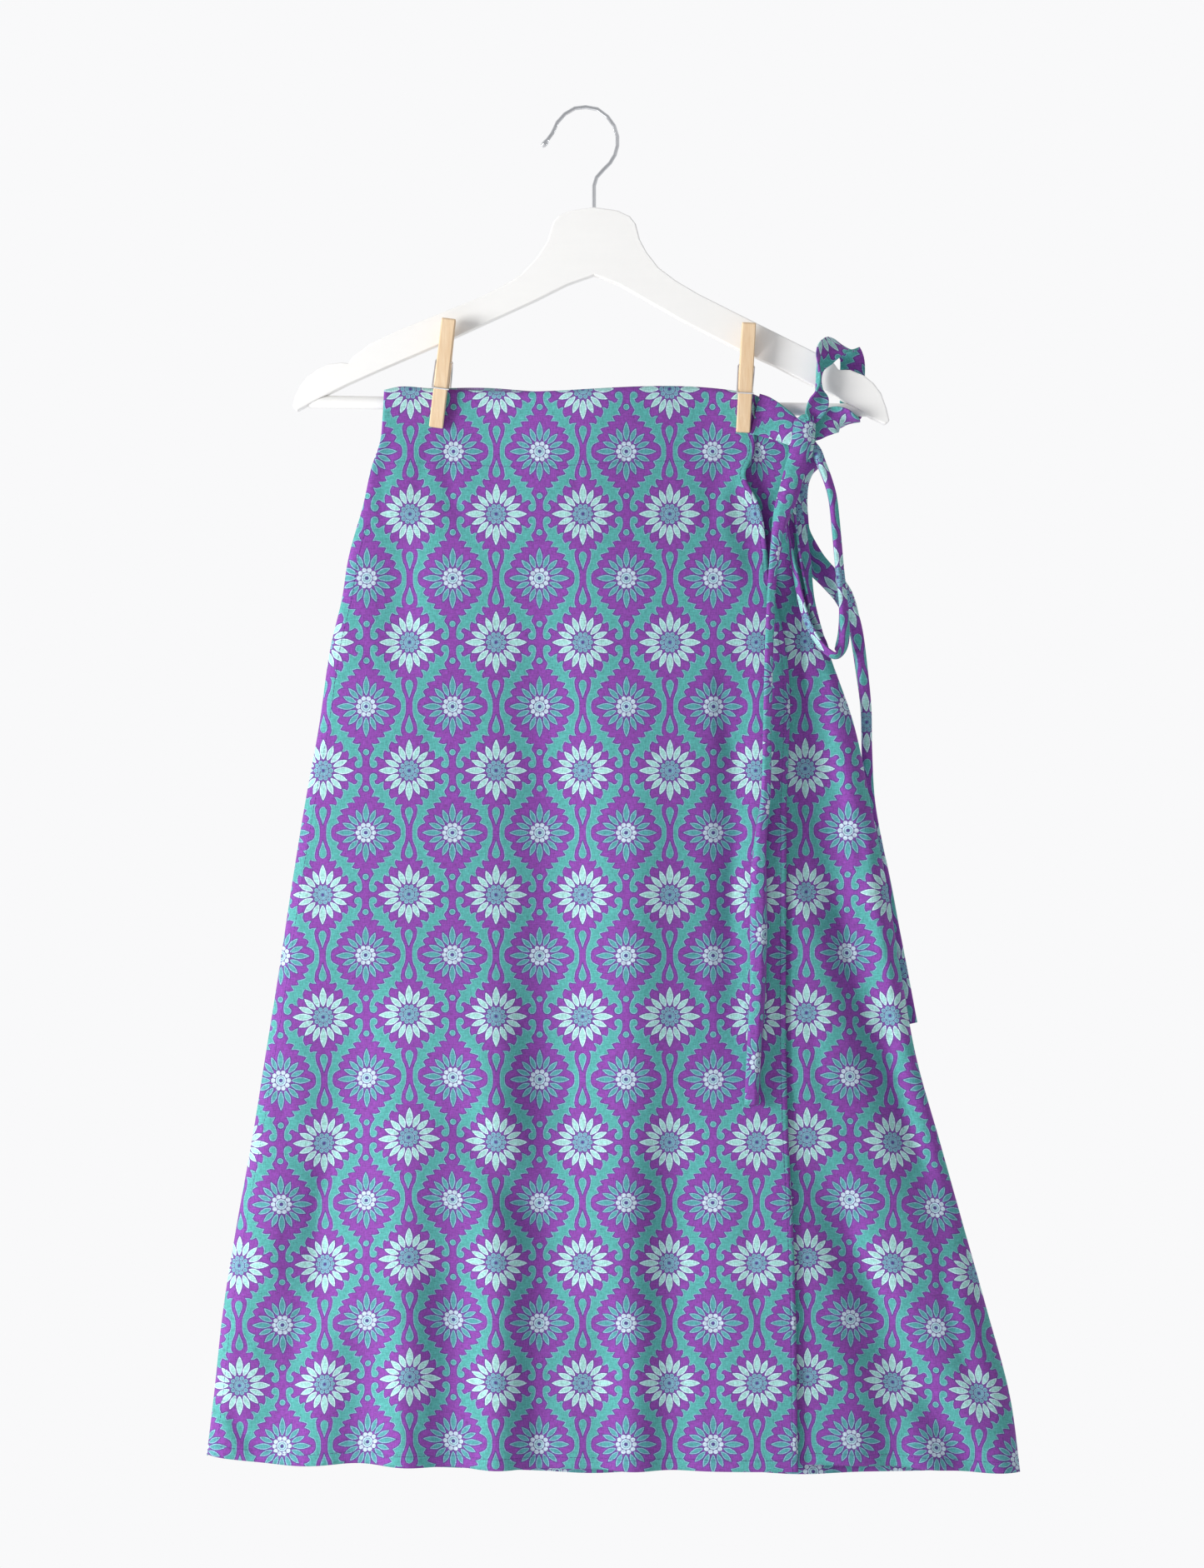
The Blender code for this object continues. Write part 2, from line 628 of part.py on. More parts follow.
def peg(name, col, row, lean):
    """Two legs and their spring, leaning in the picture plane about the bar."""
    centre = on_photo(col, row, 0.0)
    turn = math.radians(lean)
    half = PEG_WIDTH / 2
    front = soft_edges(flat(name + "_front_leg", FRONT_LEG, half, peg_wood, SIDEWAYS), 0.7, 1)
    back = soft_edges(flat(name + "_back_leg", BACK_LEG, half, peg_wood, SIDEWAYS), 0.7, 1)
    side = half + CLEARANCE + SPRING_WIRE
    coil_y = -9.4
    coil_z = 30.0
    steps = 8 * COIL_TURNS
    pitch = 2 * SPRING_WIRE + 0.3
    path = [(side + 0.2, -17.75, 9.0), (-side, -17.75, 9.0), (-side, -16.8, 10.2)]
    path += [(-side, coil_y - COIL_RADIUS, coil_z - 1.0), (-side + 0.5, coil_y - COIL_RADIUS, coil_z)]
    for k in range(1, steps + 4):
        a = math.pi + 2 * math.pi * k / 8
        x = pitch * (k / 8 - COIL_TURNS / 2 - 0.25)
        path.append((x, coil_y + COIL_RADIUS * math.cos(a), coil_z + COIL_RADIUS * math.sin(a)))
    path += [(side - 0.5, coil_y + COIL_RADIUS, coil_z), (side, coil_y + COIL_RADIUS, coil_z - 1.0)]
    path += [(side, 9.6, 10.4), (side, 10.0, 9.2), (-side - 0.2, 10.0, 9.2)]
    spring = wire(name + "_spring", path, SPRING_WIRE, steel, 6)
    holder = bpy.data.objects.new(name, None)
    holder.location = Vector(centre) * 0.001
    holder.rotation_euler = (0, turn, 0)
    collection.objects.link(holder)
    for made in (front, back, spring):
        made.parent = holder


for old in list(bpy.data.objects):
    bpy.data.objects.remove(old, do_unlink=True)
collection = bpy.data.collections.new("wrap_skirt_on_hanger")
cutters = bpy.data.collections.new("cutters")
bpy.context.scene.collection.children.link(collection)
bpy.context.scene.collection.children.link(cutters)

cloth = material("printed_cloth", (0.3, 0.12, 0.42), 0.85)
white_paint = material("white_paint", (0.86, 0.86, 0.84), 0.4)
peg_wood = material("peg_wood", (0.82, 0.62, 0.4), 0.6)
steel = material("steel_wire", (0.6, 0.6, 0.62), 0.3, 1.0)

over = panel_grid(over_columns, over_point, over_ends, PANEL_ROWS, 28)
sheet("front_over_panel", over, CLOTH_WALL, cloth, False)
under = panel_grid(under_columns, under_point, under_ends, PANEL_ROWS, 22)
sheet("front_under_panel", under, CLOTH_WALL, cloth, True)
back = panel_grid(back_columns, back_point, back_ends, BACK_ROWS, 22)
sheet("back_panel", back, CLOTH_WALL, cloth, True)

tie("tie_stub", STUB, 2)
knot()
tie("tie_loop_hanger", LOOP_HANGER, TIE_STEPS)
tie("tie_loop_side", LOOP_SIDE, TIE_STEPS)
tie("tie_tail_front", before_front(TAIL_FRONT), TIE_STEPS)
tie("tie_tail_side", TAIL_SIDE, TIE_STEPS)

board = [tuple(on_photo(c, r, 0.0)[[0, 2]]) for c, r in BOARD]
body = soft_edges(flat("hanger_body", board, BOARD_HALF, white_paint, UPRIGHT), BOARD_EDGE, 2)
ends = [on_photo(c, r, 0.0) for c, r in BAR_ENDS]
run = (ends[1] - ends[0]) / np.linalg.norm(ends[1] - ends[0])
rod("hanger_bar", ends[0], ends[1], BAR_RADIUS, 24, white_paint)
slack = CLEARANCE * run
hole = rod("bar_hole", ends[0] - slack, ends[1] + slack, BAR_RADIUS + CLEARANCE, 24, white_paint)
cutter(hole, body)
hook_points = [on_photo(c, r, 0.0) for c, r, _ in HOOK]
wire("hanger_hook", hook_points, WIRE_RADIUS, steel, 12, [k for _, _, k in HOOK])
stem = rod(
    "hook_hole", on_photo(713, 270.6, 0.0), on_photo(713, 240, 0.0), WIRE_RADIUS + 0.4, 16, white_paint
)
cutter(stem, body)
for peg_name, peg_col, peg_row, peg_lean in PEGS:
    peg(peg_name, peg_col, peg_row, peg_lean)
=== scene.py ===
"""Looks of the wrap skirt on its hanger. The tables hold places read off the photo in its pixels, as in the
part's source, and lengths are in millimetres until a mesh is made. +X right, +Y to the wall, +Z up."""

import math

import bpy
import numpy as np
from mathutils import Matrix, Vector


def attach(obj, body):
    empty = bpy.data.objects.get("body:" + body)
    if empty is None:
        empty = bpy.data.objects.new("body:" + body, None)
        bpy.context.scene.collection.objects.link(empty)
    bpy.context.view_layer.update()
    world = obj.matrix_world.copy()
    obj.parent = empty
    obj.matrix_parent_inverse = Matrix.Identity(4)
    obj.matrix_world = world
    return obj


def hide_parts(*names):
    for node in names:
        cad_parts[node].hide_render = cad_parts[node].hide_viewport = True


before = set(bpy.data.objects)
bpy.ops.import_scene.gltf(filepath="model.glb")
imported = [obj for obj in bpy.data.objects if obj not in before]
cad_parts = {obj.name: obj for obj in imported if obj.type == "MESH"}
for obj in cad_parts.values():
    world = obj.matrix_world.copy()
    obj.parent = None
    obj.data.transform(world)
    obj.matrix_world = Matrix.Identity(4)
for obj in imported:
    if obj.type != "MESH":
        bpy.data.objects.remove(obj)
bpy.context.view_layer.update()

# Scale and view of the photo.
MM_PER_PX = 0.6
PHOTO_ROWS = 1882
VIEW_MM = 2400.0
CENTRE_COL = 722.5
CENTRE_ROW = 941.0
CENTRE_X = 11.7
CENTRE_Z = -486.0

# Cloth.
CLOTH_WALL = 1.0
TIE_WALL = 1.3
OVER_Y = -8.5
UNDER_Y = -7.15
BACK_Y = -5.8
HIDDEN_EDGE_X = -84.0
SIDE_STEPS = 12
STRIP_STEPS = 8
SIDE_BEND = 1.25
FRONT_Y = -30.0
WAIST_Y = -12.0
OVER_HEM_Y = -40.0
UNDER_HEM_Y = -34.0
BACK_HEM_Y = 5.0

# How much deeper the looks' folds are than the solids', and how many rows of faces the turned-up hem has.
FOLD_MORE = 1.25
HEM_ROWS = 3

# Stitches: how far they stand off a panel's middle, then pitch, length and thickness of one.
STITCH_OUT = 0.62
STITCH = (3.1, 2.2, 0.34)
STUB_STITCH = (2.4, 1.7, 0.34)
HEM_STITCH_UP = 8.0
WAIST_STITCH_DOWN = 54.0
EDGE_STITCH_IN = 4.0
SEAM_STITCH_IN = 7.0

# Lights: name, place, aim, size in metres, power in watts.
LIGHTS = [
    ("key", (-2.75, -1.7, -0.45), (0.0, 0.0, -0.6), 1.2, 101.0),
    ("fill", (2.2, -2.0, 0.2), (0.0, 0.0, -0.6), 2.0, 3.0),
]
FLOOR_Z = -1750
FLOOR_HALF = 2500

# The print repeats every CELL_WIDE by CELL_TALL, with a pale daisy at each corner and a green one between.
CELL_WIDE = 62.0
CELL_TALL = 90.6
WEAVE_MM = 0.62

# Photo columns of the print's zero on each panel. DROOP: column, rows that the print hangs lower there.
OVER_PRINT = 699.5
UNDER_PRINT = 968.0
BACK_PRINT = 720.0
DROOP = [(284, 3.0), (390, 1.5), (495, -8.0), (600, 0.0)]

# Silhouette of the skirt: photo row, left column, right column.
OUTLINE = [
    (462, 462, 944),
    (500, 460, 946),
    (530, 457, 949),
    (560, 447, 952),
    (605, 437, 961),
    (670, 419, 972),
    (720, 411, 977),
    (770, 399, 990),
    (870, 384, 1024),
    (970, 366, 1045),
    (1070, 350, 1065),
    (1170, 335, 1081),
    (1270, 319, 1099),
    (1370, 303, 1127),
    (1470, 285, 1155),
    (1570, 269, 1183),
    (1680, 257, 1212),
    (1770, 246, 1224),
]

# Free edge of the over panel: photo row, column.
OVER_EDGE = [
    (462, 903),
    (525, 907),
    (545, 905),
    (566, 895),
    (605, 911),
    (700, 925),
    (760, 940),
    (1000, 943),
    (1350, 945),
    (1500, 952),
    (1770, 957),
]

# Top edge of the front: photo column, row. The back's is BACK_RISE higher in the middle.
WAIST = [(462, 467), (475, 464), (520, 466), (620, 470), (880, 468), (905, 472), (925, 483), (950, 500)]
BACK_RISE = 2.6

# Lower edges: photo column, row.
OVER_HEM = [
    (248, 1754), (267, 1756), (294, 1759), (338, 1761), (424, 1757), (560, 1760), (760, 1763), (957, 1764),
]  # fmt: skip
UNDER_HEM = [(560, 1752), (961, 1754), (1041, 1758), (1104, 1763), (1156, 1769), (1223, 1773)]
BACK_HEM = [(248, 1741), (424, 1756), (568, 1766), (820, 1768), (1082, 1768), (1223, 1761)]

# Folds of the front: name, top column, top row, middle column, middle row, low column, low row,
# half width mm, depth mm. A depth under 0 is a ridge.
FRONT_FOLDS = [
    ("edge_recess", 899, 545, 902, 620, 908, 720, 9, 5),
    ("by_tail", 893, 720, 880, 1000, 884, 1330, 13, 6),
    ("centre", 640, 600, 660, 1080, 650, 1762, 24, 8),
    ("left_low", 432, 1120, 385, 1480, 308, 1762, 26, 10),
    ("left_high", 482, 600, 480, 700, 474, 830, 16, 4),
    ("slant", 552, 1310, 606, 1420, 655, 1500, 18, 5),
    ("flute_a", 436, 1560, 432, 1660, 430, 1762, 20, 8),
    ("flute_b", 548, 1480, 546, 1620, 545, 1762, 22, 7),
    ("flute_c", 722, 1540, 720, 1650, 720, 1762, 20, 7),
    ("flute_d", 806, 1300, 802, 1550, 800, 1762, 22, 8),
    ("crest_a", 590, 1100, 598, 1450, 596, 1762, 22, -7),
    ("crest_b", 760, 800, 760, 1300, 762, 1762, 24, -6),
    ("crest_c", 490, 1300, 488, 1550, 486, 1762, 22, -6),
    ("side_deep", 934, 720, 1016, 1100, 1172, 1600, 15, 13),
    ("side_crest", 972, 720, 1062, 1200, 1196, 1700, 15, -5),
    ("side_low", 975, 1370, 1045, 1560, 1158, 1764, 16, 9),
    ("edge_low", 934, 1040, 938, 1200, 940, 1360, 12, 4),
    ("side_flute", 1020, 1560, 1062, 1660, 1075, 1764, 17, 8),
]

# Folds of the back, in the photo's columns and rows as seen through from the front. Same columns.
BACK_FOLDS = [
    ("back_a", 560, 760, 520, 1300, 470, 1766, 26, 9),
    ("back_b", 700, 900, 705, 1300, 712, 1766, 26, 10),
    ("back_c", 850, 800, 890, 1300, 960, 1766, 28, 11),
    ("back_d", 420, 1250, 380, 1500, 345, 1766, 22, 8),
    ("back_crest", 780, 1100, 800, 1400, 830, 1766, 24, -7),
]

# Small creases of the front: column and row of one end, of the other, half width mm, depth mm.
FRONT_CREASES = [
    (508, 596, 604, 602, 4, 1.1),
    (516, 585, 560, 588, 3, -0.6),
    (617, 584, 632, 594, 3, 0.8),
    (683, 571, 697, 580, 3, 0.8),
    (738, 560, 790, 548, 5, 0.9),
    (533, 520, 560, 640, 6, 1.3),
    (520, 522, 500, 610, 5, 1.0),
    (884, 530, 850, 640, 7, 1.6),
    (893, 540, 885, 660, 5, 1.4),
    (470, 520, 462, 640, 5, 1.2),
    (421, 742, 452, 800, 5, 0.9),
    (372, 1010, 398, 1110, 6, 1.2),
    (330, 1260, 352, 1380, 6, 1.3),
    (398, 1370, 386, 1575, 9, 3.0),
    (364, 1560, 352, 1650, 6, 2.0),
    (338, 1420, 328, 1560, 10, -2.0),
    (270, 1688, 312, 1752, 5, 2.4),
    (300, 1590, 282, 1700, 6, 1.5),
    (500, 1640, 512, 1757, 6, 1.4),
    (640, 1600, 652, 1757, 6, 1.4),
    (862, 1560, 868, 1757, 7, 1.5),
    (905, 1400, 918, 1600, 6, 1.2),
    (560, 1180, 610, 1290, 6, 1.0),
    (700, 1240, 682, 1380, 6, 1.2),
    (756, 940, 748, 1060, 6, 0.8),
    (838, 1110, 852, 1260, 6, 1.0),
    (520, 860, 536, 980, 6, 0.8),
    (868, 790, 884, 930, 6, 1.8),
    (894, 980, 880, 1140, 6, 1.6),
    (916, 600, 930, 700, 5, 1.6),
    (956, 740, 1000, 950, 6, 3.4),
    (984, 780, 1040, 1040, 6, 3.0),
    (1000, 1060, 1070, 1300, 7, 3.6),
    (1060, 1200, 1120, 1420, 6, 3.0),
    (960, 900, 986, 1120, 5, 2.0),
    (1036, 960, 1062, 1180, 5, 2.2),
    (1010, 1420, 1080, 1600, 7, 2.0),
    (1130, 1500, 1190, 1700, 6, 2.0),
    (976, 1200, 1000, 1340, 6, 1.4),
]

# The same for the back.
BACK_CREASES = [
    (500, 620, 470, 760, 7, 1.6),
    (640, 560, 650, 700, 8, 1.4),
    (880, 560, 850, 700, 8, 1.8),
    (620, 1180, 600, 1380, 8, 1.8),
    (780, 1300, 800, 1520, 8, 1.6),
    (960, 1000, 1010, 1240, 8, 2.0),
    (1060, 1400, 1120, 1620, 8, 2.0),
    (400, 1000, 380, 1150, 7, 1.4),
    (1090, 1640, 1110, 1757, 8, 1.8),
    (560, 1600, 566, 1757, 8, 1.6),
]

# Ties: column, row, depth mm, width mm, curl across in degrees, then the direction of the width.
# TAIL_FRONT hangs on the over panel: its third number is how far it stands in front of that.
STUB = [
    (906, 497, -10.6, 30, 0, (0.1, 0, 1)),
    (914, 499, -10.8, 29, 0, (0.2, 0, 1)),
    (925, 504, -11.4, 27, 15, (0.35, 0, 1)),
    (937, 510, -12.6, 24, 35, (0.4, 0, 1)),
    (948.5, 517, -14.4, 21, 50, (0.4, 0, 1)),
]
LOOP_HANGER = [
    (973.8, 500.5, -18.4, 12, 60, (0.85, 0.1, 0.5)),
    (980, 490, -17.4, 15, 40, (0.93, 0.15, 0.3)),
    (983.5, 479, -15.2, 15, 60, (0.88, 0.48, 0.1)),
    (982, 467, -13.6, 13, 90, (0.35, 0.94, 0)),
    (982, 455, -13.4, 12, 100, (0.1, 1, 0)),
    (983, 443, -13.4, 13, 80, (0.3, 0.95, -0.1)),
    (987, 431, -12.8, 17, 40, (0.66, 0.65, -0.4)),
    (994, 421, -10.4, 18, 20, (0.84, 0.25, -0.48)),
    (1003, 415, -5.2, 18, 10, (0.9, 0.1, -0.43)),
    (1012, 415.5, 1.6, 18, 10, (0.88, 0.08, -0.47)),
    (1019, 422, 6.4, 16.5, 10, (0.74, 0.3, -0.6)),
    (1023, 434, 8.6, 18, 10, (0.95, 0.2, -0.25)),
    (1023, 455, 8.6, 18, 10, (1, 0, 0)),
    (1023, 478, 8.4, 18, 10, (1, 0, 0)),
    (1021, 496, 7.4, 17, 10, (1, -0.1, 0)),
    (1019, 507, 3.0, 15, 10, (0.75, -0.66, 0.05)),
    (1020, 508, -3.2, 15, 10, (0.6, -0.8, 0.15)),
    (1018, 506, -8.6, 16.5, 10, (0.35, -0.86, 0.36)),
    (1010, 503.5, -12.2, 18, 12, (0.15, -0.45, 0.85)),
    (1001, 504, -13.6, 19, 15, (0, -0.1, 1)),
    (992, 507.5, -14.2, 18.5, 18, (-0.2, 0, 1)),
    (985, 511, -14.6, 17.5, 25, (-0.2, 0, 1)),
]
LOOP_SIDE = [
    (981, 542.6, -15.7, 13, 150, (0.9, 0.4, 0.5)),
    (986, 556, -16.4, 13.5, 200, (0.95, 0.5, 0.35)),
    (993, 575, -17.0, 14, 225, (1, 0.6, 0.25)),
    (999, 598, -17.4, 14.5, 235, (1, 0.6, 0.1)),
    (1003, 635, -17.4, 15, 240, (1, 0.6, 0)),
    (1007, 680, -17.6, 15, 240, (1, 0.6, 0)),
    (1012, 730, -18.0, 16, 240, (1, 0.6, 0)),
    (1013, 768, -18.6, 17, 190, (0.8, 0.9, 0)),
    (1006, 786, -19.6, 17, 110, (0.3, 1, 0)),
    (995, 785, -20.6, 17, 90, (0, 1, 0)),
    (982, 768, -21.4, 17, 150, (0.5, 0.9, 0)),
    (968, 736, -21.0, 17, 200, (0.9, 0.7, 0)),
    (958, 690, -18.4, 16, 200, (1, 0.5, 0)),
    (950, 640, -15.6, 14, 170, (1, 0.3, 0)),
    (947, 600, -13.6, 12, 140, (1, 0.2, 0)),
    (951, 566, -12.8, 11, 120, (1, 0.2, 0)),
]
TAIL_FRONT = [
    (956, 556, 11.4, 15, 40, (1, 0.05, 0.12)),
    (952, 570, 12.6, 15, 50, (1, 0.05, 0.2)),
    (948, 588, 13.0, 16, 70, (1, 0.1, 0.3)),
    (941, 612, 12.0, 16, 100, (1, 0.15, 0.3)),
    (934, 640, 10.5, 15.5, 170, (1, 0.2, 0.1)),
    (927, 690, 8.5, 14, 220, (1, 0.3, 0)),
    (923, 770, 8.0, 14, 235, (1, 0.3, 0)),
    (921, 850, 8.0, 14, 230, (1, 0.3, 0)),
    (919, 950, 7.5, 14.5, 210, (1, 0.3, 0)),
    (914, 1000, 7.0, 16, 180, (1, 0.2, 0)),
    (911, 1060, 6.5, 18, 140, (1, 0.1, 0)),
    (910, 1130, 6.5, 18, 140, (1, -0.1, 0)),
    (908, 1200, 6.5, 18, 150, (1, -0.2, 0)),
    (904, 1260, 6.5, 18, 160, (1, -0.2, 0)),
    (901, 1326, 6.5, 18, 160, (1, -0.2, 0)),
]
TAIL_SIDE = [
    (975, 543, -12.2, 12, 60, (0.9, 0.3, 0.3)),
    (979, 553, -9.0, 13, 60, (0.95, 0.3, 0.2)),
    (973, 563, -5.6, 14, 60, (0.95, 0.2, 0.35)),
    (966, 574, -0.6, 14, 60, (0.9, 0.2, 0.5)),
    (960, 587, 3.6, 14, 50, (0.95, 0.2, 0.35)),
    (957, 604, 6.8, 15, 40, (1, 0.1, 0.1)),
    (957, 622, 8.2, 16, 40, (1, 0, 0)),
    (959, 638, 8.2, 16, 40, (1, 0, 0.1)),
    (965, 654, 7.4, 17, 40, (1, -0.2, 0.5)),
    (978, 676, 3.4, 18, 60, (0.9, -0.4, 0.8)),
    (996, 696, -2.0, 18, 90, (0.8, -0.3, 0.8)),
    (1014, 718, -4.0, 18, 120, (0.9, 0, 0.5)),
    (1027, 752, -3.0, 18, 170, (1, 0.2, 0.2)),
    (1034, 800, -1.0, 18, 200, (1, 0.4, 0)),
    (1039, 850, 2.0, 18, 220, (1, 0.4, 0)),
    (1040, 900, 5.0, 18, 225, (1, 0.4, 0)),
    (1043, 960, 7.4, 18, 200, (1, 0.3, 0)),
    (1053, 1020, 9.0, 18, 150, (1, 0.2, 0)),
    (1062, 1065, 10.0, 18, 140, (1, 0.2, 0)),
    (1071, 1110, 11.0, 18, 150, (1, 0.2, 0)),
    (1081, 1160, 12.0, 18, 170, (1, 0.2, 0)),
    (1094, 1228, 13.4, 18, 190, (1, 0.2, 0)),
]

# The ends that run on into the knot, in the same columns as the ties' tables.
STUB_END = [(954, 520, -15.2, 19, 45, (0.35, 0, 1)), (959, 522, -15.6, 16, 40, (0.3, 0, 1))]
LOOP_HANGER_START = [(966, 508, -16.4, 10, 60, (0.8, 0.1, 0.6)), (970, 504, -17.8, 11, 60, (0.85, 0.1, 0.5))]
LOOP_HANGER_END = [(978, 515, -15.2, 17, 30, (-0.2, 0, 1)), (972, 518.5, -15.4, 15, 30, (-0.1, 0, 1))]
LOOP_SIDE_START = [(972, 531, -14.6, 11, 90, (0.9, 0.4, 0.3)), (976, 536, -15.2, 13, 120, (0.9, 0.4, 0.4))]
TAIL_SIDE_START = [(969, 528, -12.6, 10, 60, (0.9, 0.2, 0.2)), (972, 536, -12.6, 11, 60, (0.9, 0.3, 0.3))]
WRAP_FRONT = [
    (966, 500, -14.0, 13, 40, (1, 0, 0.25)),
    (965, 502.5, -18.6, 14, 45, (1, 0, 0.3)),
    (964, 511, -21.4, 14.5, 50, (1, 0, 0.25)),
    (962.5, 525, -22.6, 14.5, 50, (1, 0, 0.15)),
    (960, 540, -22.8, 14.5, 50, (1, 0, 0.15)),
]
# The band round the knot: its width in mm, then column, row, depth mm.
KNOT_WIDE = 14.0
KNOT_RING = [
    (967, 499.5, -15.6),
    (968, 504, -19.2),
    (967, 525, -20.8),
    (964, 546, -19.2),
    (962.5, 551.5, -15.6),
    (963, 546, -11.6),
    (966, 525, -10.0),
    (967, 504, -11.6),
]

# Rows of the photo that hold the pale daisies of the over panel, one print repeat apart.
DAISY_ROWS = [467, 617, 771, 925, 1074, 1220, 1371, 1516, 1660]

# Edges of the leaf band in a quarter of the repeat, read off an enlarged view of the photo, with the
# pale daisy at 0, 0 and the green one at 31, 45.3: place along the slant, distance out to the edge, in mm.
LEAF_BY_PALE = [
    (-22.0, 26.0), (-19.4, 24.6), (-17.6, 22.3), (-12.7, 22.9), (-10.3, 23.8), (-8.7, 23.0), (-8.3, 20.8),
    (-7.2, 18.4), (-6.0, 20.3), (-4.7, 21.6), (-2.6, 22.6), (-2.0, 22.4), (-1.8, 21.3), (-1.3, 20.1),
    (-0.2, 19.1), (0.9, 21.5), (2.3, 22.7), (5.0, 23.6), (5.8, 23.4), (6.0, 22.3), (6.6, 20.8),
    (8.0, 19.4), (8.5, 22.1), (9.5, 23.8), (10.9, 24.5), (11.6, 24.4), (12.0, 23.1), (14.2, 20.6),
    (14.6, 22.7), (15.8, 24.3), (18.0, 26.0), (20.4, 27.6), (23.5, 28.7), (26.2, 30.1), (28.4, 31.8),
    (30.3, 33.7), (32.0, 36.0),
]  # fmt: skip
LEAF_BY_GREEN = [
    (-22.0, 18.6), (-19.4, 20.0), (-17.6, 22.3), (-15.8, 24.6), (-13.5, 26.4), (-10.7, 27.7), (-8.2, 28.0),
    (-6.9, 28.5), (-6.4, 30.2), (-5.5, 32.7), (-4.2, 30.6), (-2.0, 29.3), (-0.7, 28.9), (-0.35, 30.9),
    (0.2, 32.9), (1.9, 31.0), (3.5, 29.8), (4.9, 29.2), (5.3, 30.6), (5.95, 32.4), (8.1, 30.9),
    (10.9, 29.4), (11.9, 29.2), (12.1, 31.0), (12.5, 33.0), (13.6, 32.1), (15.7, 31.4), (17.7, 31.7),
    (18.1, 33.1), (18.6, 35.3), (20.8, 34.4), (23.2, 33.8), (25.3, 34.2), (26.9, 35.2), (27.9, 36.2),
    (28.6, 40.0), (32.0, 46.0),
]  # fmt: skip
# Half width of the drop between two bands, and of a petal as a part of its widest.
DROP = [(26.4, 0), (27.0, 1.5), (28.4, 2.5), (30.2, 2.85), (32.5, 2.4), (35.5, 1.3), (38.0, 0.5), (39.4, 0)]
PETAL = [(0, 0.2), (0.12, 0.55), (0.3, 0.9), (0.45, 1.0), (0.62, 0.9), (0.8, 0.58), (0.92, 0.28), (1.0, 0)]


def on_photo(col, row, depth):
    """The point in millimetres that the photo shows at this column and row, at this depth."""
    return np.array([x_on_photo(col, depth), depth, z_on_photo(row, depth)])


def smooth(at, xs, ys):
    """Soft curve through a table, straight past its ends."""
    xs = np.asarray(xs, float)
    ys = np.asarray(ys, float)
    slopes = np.gradient(ys, xs)
    i = np.clip(np.searchsorted(xs, at) - 1, 0, len(xs) - 2)
    h = xs[i + 1] - xs[i]
    t = np.clip((at - xs[i]) / h, 0, 1)
    a = (1 + 2 * t) * (1 - t) ** 2 * ys[i] + t * (1 - t) ** 2 * h * slopes[i]
    return a + t * t * (3 - 2 * t) * ys[i + 1] + t * t * (t - 1) * h * slopes[i + 1]


def ramp(at, start, end):
    t = np.clip((at - start) / (end - start), 0, 1)
    return t * t * (3 - 2 * t)


def column_of(x, depth):
    return (x - CENTRE_X) * VIEW_MM / (MM_PER_PX * (VIEW_MM + depth)) + CENTRE_COL


def row_of(z, depth):
    return CENTRE_ROW - (z - CENTRE_Z) * VIEW_MM / (MM_PER_PX * (VIEW_MM + depth))


def lower(z):
    """0 at the pegs' ends, 1 at the hem."""
    return np.clip((-z - 232.0) / 748.0, 0, 1)


def side_y(z):
    """Depth of the side seams."""
    return (OVER_Y + BACK_Y) / 2 - 4.0 * lower(z)


def side_radius(z):
    return (BACK_Y - OVER_Y) / 2 + 3.0 * ramp(-z, 236, 320) + 9.0 * lower(z)


def x_on_photo(col, depth):
    return (col - CENTRE_COL) * MM_PER_PX * (VIEW_MM + depth) / VIEW_MM + CENTRE_X


def z_on_photo(row, depth):
    return CENTRE_Z - (row - CENTRE_ROW) * MM_PER_PX * (VIEW_MM + depth) / VIEW_MM


def sides(z):
    depth = side_y(z)
    row = row_of(z, depth)
    rows = [r for r, _, _ in OUTLINE]
    left = smooth(row, rows, [c for _, c, _ in OUTLINE])
    right = smooth(row, rows, [c for _, _, c in OUTLINE])
    return x_on_photo(left, depth), x_on_photo(right, depth)


def over_edge(z):
    depth = -15.0 - 22.0 * lower(z)
    column = smooth(row_of(z, depth), [r for r, _ in OVER_EDGE], [c for _, c in OVER_EDGE])
    return x_on_photo(column, depth)


def edge_z(x, table, depth):
    column = column_of(x, depth)
    row = smooth(column, [c for c, _ in table], [r for _, r in table])
    return z_on_photo(row, depth)


def folds(x, z, table, depth):
    """How far the folds of a table push the cloth in at this place."""
    column = column_of(x, depth)
    row = row_of(z, depth)
    total = 0.0 * row
    for _, c0, r0, c1, r1, c2, r2, half, deep in table:
        centre = smooth(row, [r0, r1, r2], [c0, c1, c2])
        off = (column - centre) * MM_PER_PX / half
        end = 0.35 * (r2 - r0)
        fade = ramp(row, r0 - 0.1 * end, r0 + end)
        if r2 < 1740:
            fade = fade * (1 - ramp(row, r2 - end, r2 + 0.1 * end))
        total = total + deep * fade * np.exp(-off * off)
    return total


def creases(x, z, table, depth):
    """How far the small creases of a table push the cloth in at this place."""
    column = column_of(x, depth)
    row = row_of(z, depth)
    total = 0.0 * row
    for c0, r0, c1, r1, half, deep in table:
        length = math.hypot(c1 - c0, r1 - r0)
        share = ((column - c0) * (c1 - c0) + (row - r0) * (r1 - r0)) / length**2
        bow = 0.06 * length * np.sin(math.pi * np.clip(share, 0, 1))
        off = ((column - c0) * (r1 - r0) - (row - r0) * (c1 - c0)) / length + bow
        fade = ramp(share, -0.1, 0.3) * (1 - ramp(share, 0.7, 1.1))
        total = total + deep * fade * np.exp(-((off * MM_PER_PX / half) ** 2))
    return total


def across(x, z):
    left, right = sides(z)
    return np.clip((2 * x - left - right) / (right - left), -1, 1)


def held_back(fold, full):
    """A fold that goes in stays short of the cloth behind it."""
    return np.where(fold > 0, fold * full / (full + 0.6 * np.maximum(fold, 0)), fold)


